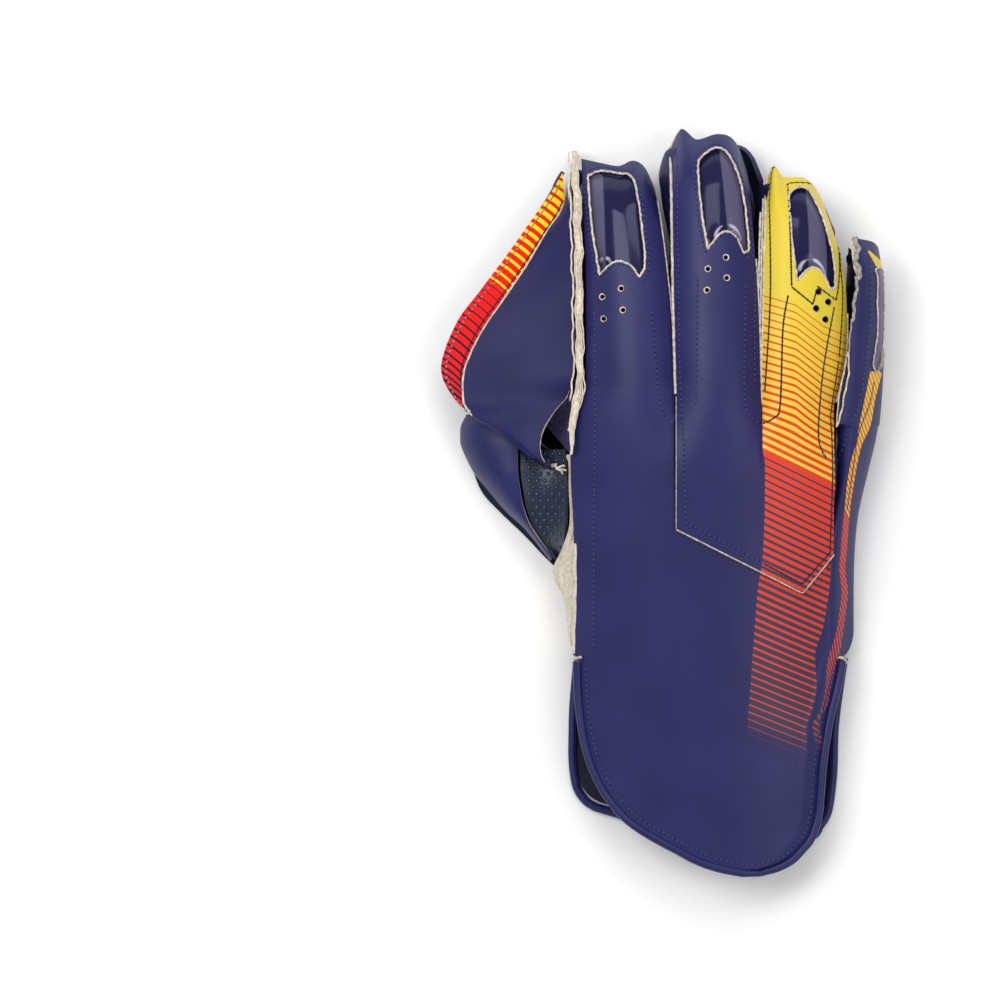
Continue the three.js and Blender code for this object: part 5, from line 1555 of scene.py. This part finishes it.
# The web's leather is a darker copy of the blue leather: painted shade, offsetting the light the web catches
# as it faces the lamps.
SHADED_WEB_LEATHER = smooth_leather(
    "web_leather", (0.0085, 0.0085, 0.066, 1), (0.0125, 0.0125, 0.084, 1), 0.5, specular=0.22)
TRIM_LEATHER = printed_leather(
    "striped_trim_leather", (0.82, 0.68, 0.005, 1), (0.78, 0.006, 0.003, 1), (0.004, 0.009, 0.04, 1),
    (0.14, 0.38, 0.06, 0.3), sheen=0.08)
web_outer = pressed_sheet(
    "web_leather", 45, WEB_ROWS + 1, web_spot, WEB_WALL, [SHADED_WEB_LEATHER, CUT_EDGE, INNER_FACE])
web_trim = pressed_sheet(
    "web_trim", 11, 161, trim_spot, WEB_WALL, [TRIM_LEATHER, CUT_EDGE, INNER_FACE], marks=trim_mark)
web_edges = [
    [Vector(web_spot(i, j)) - Vector((0, 0, drop)) for j in range(first, last)]
    for i, first, last, drop in ((0, 32, WEB_ROWS + 1, 0.3), (44, 2, 40, 0.5))
]
# the lower rim is blue, not pale, left of and below this place
blue_rim = place(web_x(0.3), web_y(0.165), 0)
for cell in web_outer.data.polygons:
    if cell.material_index == 1 and cell.center.x < blue_rim.x and cell.center.y < blue_rim.y:
        cell.material_index = 0
web_corner = Vector(web_spot(44, 0))
web_frays = []
for n, reach in enumerate([(3.9, 0.9, 0.3), (4.4, -1.5, -0.4), (3, -2.6, -1)]):
    bend = web_corner + Vector(reach) * 0.5 + Vector((0.3, 0, 0.4))
    line = [web_corner, bend, web_corner + Vector(reach)]
    web_frays.append(strand(f"web_fray_{n}", line, 0.42, CUT_EDGE, steps=4, uneven=0.22))
web_outer = joined("web_leather", [
    web_outer, *web_frays, strand("web_cut_edge", web_edges[0], 0.46, CUT_EDGE, uneven=0.08),
    strand("web_cut_edge", web_edges[1], 0.36, CUT_EDGE, uneven=0.08)])
trim_seams = [[trim_spot(i, j)[:2] for j in range(2, 158, 4)] for i in (1.6, 6.6)]
web_trim = sew(web_trim, trim_seams[:1], GREY_THREAD, size=0.9)
web_trim = sew(web_trim, trim_seams[1:], INK_THREAD)
web_rubber = pressed_sheet(
    "web_rubber", 45, WEB_ROWS + 1, web_rubber_spot, WEB_WALL, [PALM_RUBBER, PALM_RUBBER])
# The rubber on the web's floor is painted much paler than the palm's rubber: painted light, standing in for
# light that reaches the shaded hollow.
LIT_ROOT_RUBBER = rubber("web_root_rubber_painted_light", (0.11, 0.095, 0.27, 1), (0.17, 0.15, 0.38, 1))
web_root = pressed_sheet(
    "web_root", 29, 43, lambda i, j: web_root_spot(i, j, True), 0.6, [LIT_ROOT_RUBBER, LIT_ROOT_RUBBER])
web_root = pimples(web_root, *PIMPLE_FIELDS["web_root"], upper=True)
# The black lining laid under the web's floor gives the dark of the shaded hollow: painted shade.
root_lining = pressed_sheet(
    "root_lining", 29, 43, lambda i, j: web_root_spot(i, j, False), 0.6, [lining_cloth_and_shade, lining_cloth_and_shade])
web_rubber = joined("web_rubber", [web_rubber, web_root, root_lining])
for piece, node, slot_name in (
    (web_outer, "web_outer", "navy_leather"), (web_trim, "web_trim", "printed_leather"),
    (web_rubber, "web_rubber", "palm_rubber"),
):
    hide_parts(node)
    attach(piece, "root")

# Welt: thin cut edges of pale split leather on a broad base, sewn together along
# the index finger's thumb side. They stand up past the back and ripple a little.
WELT_WIDE = 4.4
# y, x, width: shares of the hand's length and width, and of the welt's width
WELT = [
    (0.77, -0.506, 0.25), (0.85, -0.507, 0.7), (0.93, -0.493, 1.1), (1.01, -0.474, 1.15), (1.12, -0.472, 0.9),
    (1.25, -0.474, 1), (1.4, -0.476, 0.85), (1.56, -0.478, 1), (1.72, -0.482, 0.95), (1.84, -0.488, 0.9),
    (1.93, -0.49, 0.8),
]
# place across the welt (-1 and 1 are its edges), half width, height, ripple,
# phase, share of the hand's length at which it starts; the second row is the base
WELT_LAYERS = [
    (-1.3, 0.36, 2.6, 0.3, 2.1, 0.98), (0.05, 1.5, 0.6, 0.34, 0.1, 0.86), (-0.6, 0.3, 3, 0.34, 0, 0.86),
    (-0.26, 0.3, 3.7, 0.34, 0.1, 0.77), (0.06, 0.3, 3.3, 0.34, 0.1, 0.77), (0.4, 0.3, 3.9, 0.35, 0.2, 0.77),
    (0.74, 0.3, 3.4, 0.38, 0.3, 0.8),
]


def welt_row(across, ripple, phase, start):
    row = []
    for k in range(121):
        y = mix(start, WELT[-1][0], k / 120)
        half = read(WELT, 2, y) * WELT_WIDE / 2
        along = (y * HAND_LENGTH - FINGERS["index"]["root"] * HAND_LENGTH) / FINGERS["index"]["length"]
        edge = finger_back("index", 0, max(along, -0.1))[2]
        sway = ripple * (math.sin(k * 0.33 + phase) + 0.5 * math.sin(k * 0.81 + 2 * phase))
        x = read(WELT, 1, y) * HAND_WIDTH - LAP_GAP + across * half + sway
        rise = 1.2 * (1 - ease(0.9, 1.02, y))
        row.append((x, y * HAND_LENGTH, edge + rise + 0.4 * math.sin(k * 0.27 + phase)))
    return row


WELT_EDGE = pale_suede("pale_split_leather", (0.76, 0.69, 0.58, 1), (0.56, 0.48, 0.37, 1))
welt = joined("index_welt", [
    strand("welt_layer", welt_row(across, ripple, phase, start), half, WELT_EDGE, stand_mm=stand, uneven=0.06)
    for across, half, stand, ripple, phase, start in WELT_LAYERS
])
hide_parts("index_welt")
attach(welt, "root")

# Cuff: the palm side is a flat panel of the same leather with the printed bands
# running on. Both sides of the cuff end in a rolled edge over a round cord.
PALM_CUFF_LENGTH = 86
PALM_CUFF = [
    (-1, 0.02, 0.2), (-0.93, -0.13, 0.42), (-0.86, -0.24, 0.475), (-0.805, -0.34, 0.5), (-0.77, -0.43, 0.507),
    (-0.7, -0.49, 0.515), (-0.6, -0.513, 0.523), (-0.35, -0.518, 0.53), (0, -0.5, 0.565),
]
# y, left edge, right edge of the printed bands on the palm side, which starts yellow at the wrist
PALM_BAND_ONE = [(-90, 7, 42), (0, 7, 42)]
PALM_BAND_TWO = [(-82, 45, 47), (-60, 49, 55), (0, 51, 62)]
PALM_RED_FROM = -38
PALM_RED_LENGTH = 52
PALM_BAND_LEAN = 0.46


def cuff_palm_spot(i, j):
    at = (j / 60) ** 1.6 - 1
    left = read(PALM_CUFF, 1, at) * HAND_WIDTH + PIPING_SEAT
    right = read(PALM_CUFF, 2, at) * HAND_WIDTH - PIPING_SEAT
    return mix(left, right, i / 60), at * (PALM_CUFF_LENGTH - PIPING_SEAT) - SEAM_GAP, 0


def palm_bands(x, y):
    """The palm cuff's print, which starts yellow at the wrist and ends dark."""
    choices = []
    for band in (PALM_BAND_ONE, PALM_BAND_TWO):
        left, right = read(band, 1, y), read(band, 2, y)
        run = y + PALM_BAND_LEAN * (x - left)
        level = 0.15 + 0.85 * run / PALM_RED_FROM
        if run < PALM_RED_FROM:
            level = 1 + (PALM_RED_FROM - run) / PALM_RED_LENGTH
        choices.append((min(x - left, right - x), run / STRIPE_PITCH["one"], level))
    return choices


def rolled_edge(name, row, node):
    roll = strand(name, row, PIPING_RADIUS, PIPING_LEATHER, sides=6)
    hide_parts(node)
    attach(roll, "root")
    return roll


def palm_rim(at, side):
    share = read(PALM_CUFF, 1 if side < 0 else 2, at)
    flat = ease(0.86, 1, -at)
    x = share * HAND_WIDTH - side * PIPING_RADIUS * (1 - flat)
    return x, at * (PALM_CUFF_LENGTH - PIPING_RADIUS) - 3 * SEAM_GAP, PIPING_RADIUS


PIPING_LEATHER = smooth_leather("rolled_edge_leather", roughness=0.4)
cuff_palm = pressed_sheet("cuff_palm_side", 61, 61, cuff_palm_spot, LEATHER_WALL,
    [BACK_LEATHER, INNER_FACE, INNER_FACE], face=-1)
mark_print(cuff_palm, palm_bands)
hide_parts("cuff_palm")
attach(cuff_palm, "root")

palm_steps = [(k / 40) ** 1.6 - 1 for k in range(41)]
rolled_edge("palm_rolled_edge",
    [palm_rim(at, -1) for at in reversed(palm_steps)] + [palm_rim(at, 1) for at in palm_steps],
    "cuff_palm_piping")

edge = cuff_edge()
back_rim = []
for k, (x, y, z) in enumerate(edge):
    before, after = edge[max(k - 1, 0)], edge[min(k + 1, len(edge) - 1)]
    away = Vector((after[1] - before[1], before[0] - after[0])).normalized() * (PIPING_SEAT - PIPING_RADIUS)
    back_rim.append((x + away.x, y + away.y, z - LEATHER_WALL / 2))
back_roll = rolled_edge("back_rolled_edge", back_rim, "cuff_back_piping")
roll_ends = []
for (x, y, z), side in ((back_rim[0], 1), (back_rim[-1], -1)):
    roll_ends.append(strand("roll_end", [
        (x - 2.1 * side, y - 0.8, z), (x - 0.4 * side, y + 1, z + 1), (x + 2 * side, y + 1.4, z + 2.2)], 0.55,
        CUT_EDGE, steps=4, uneven=0.2))
back_roll = joined("back_rolled_edge", [back_roll, *roll_ends])
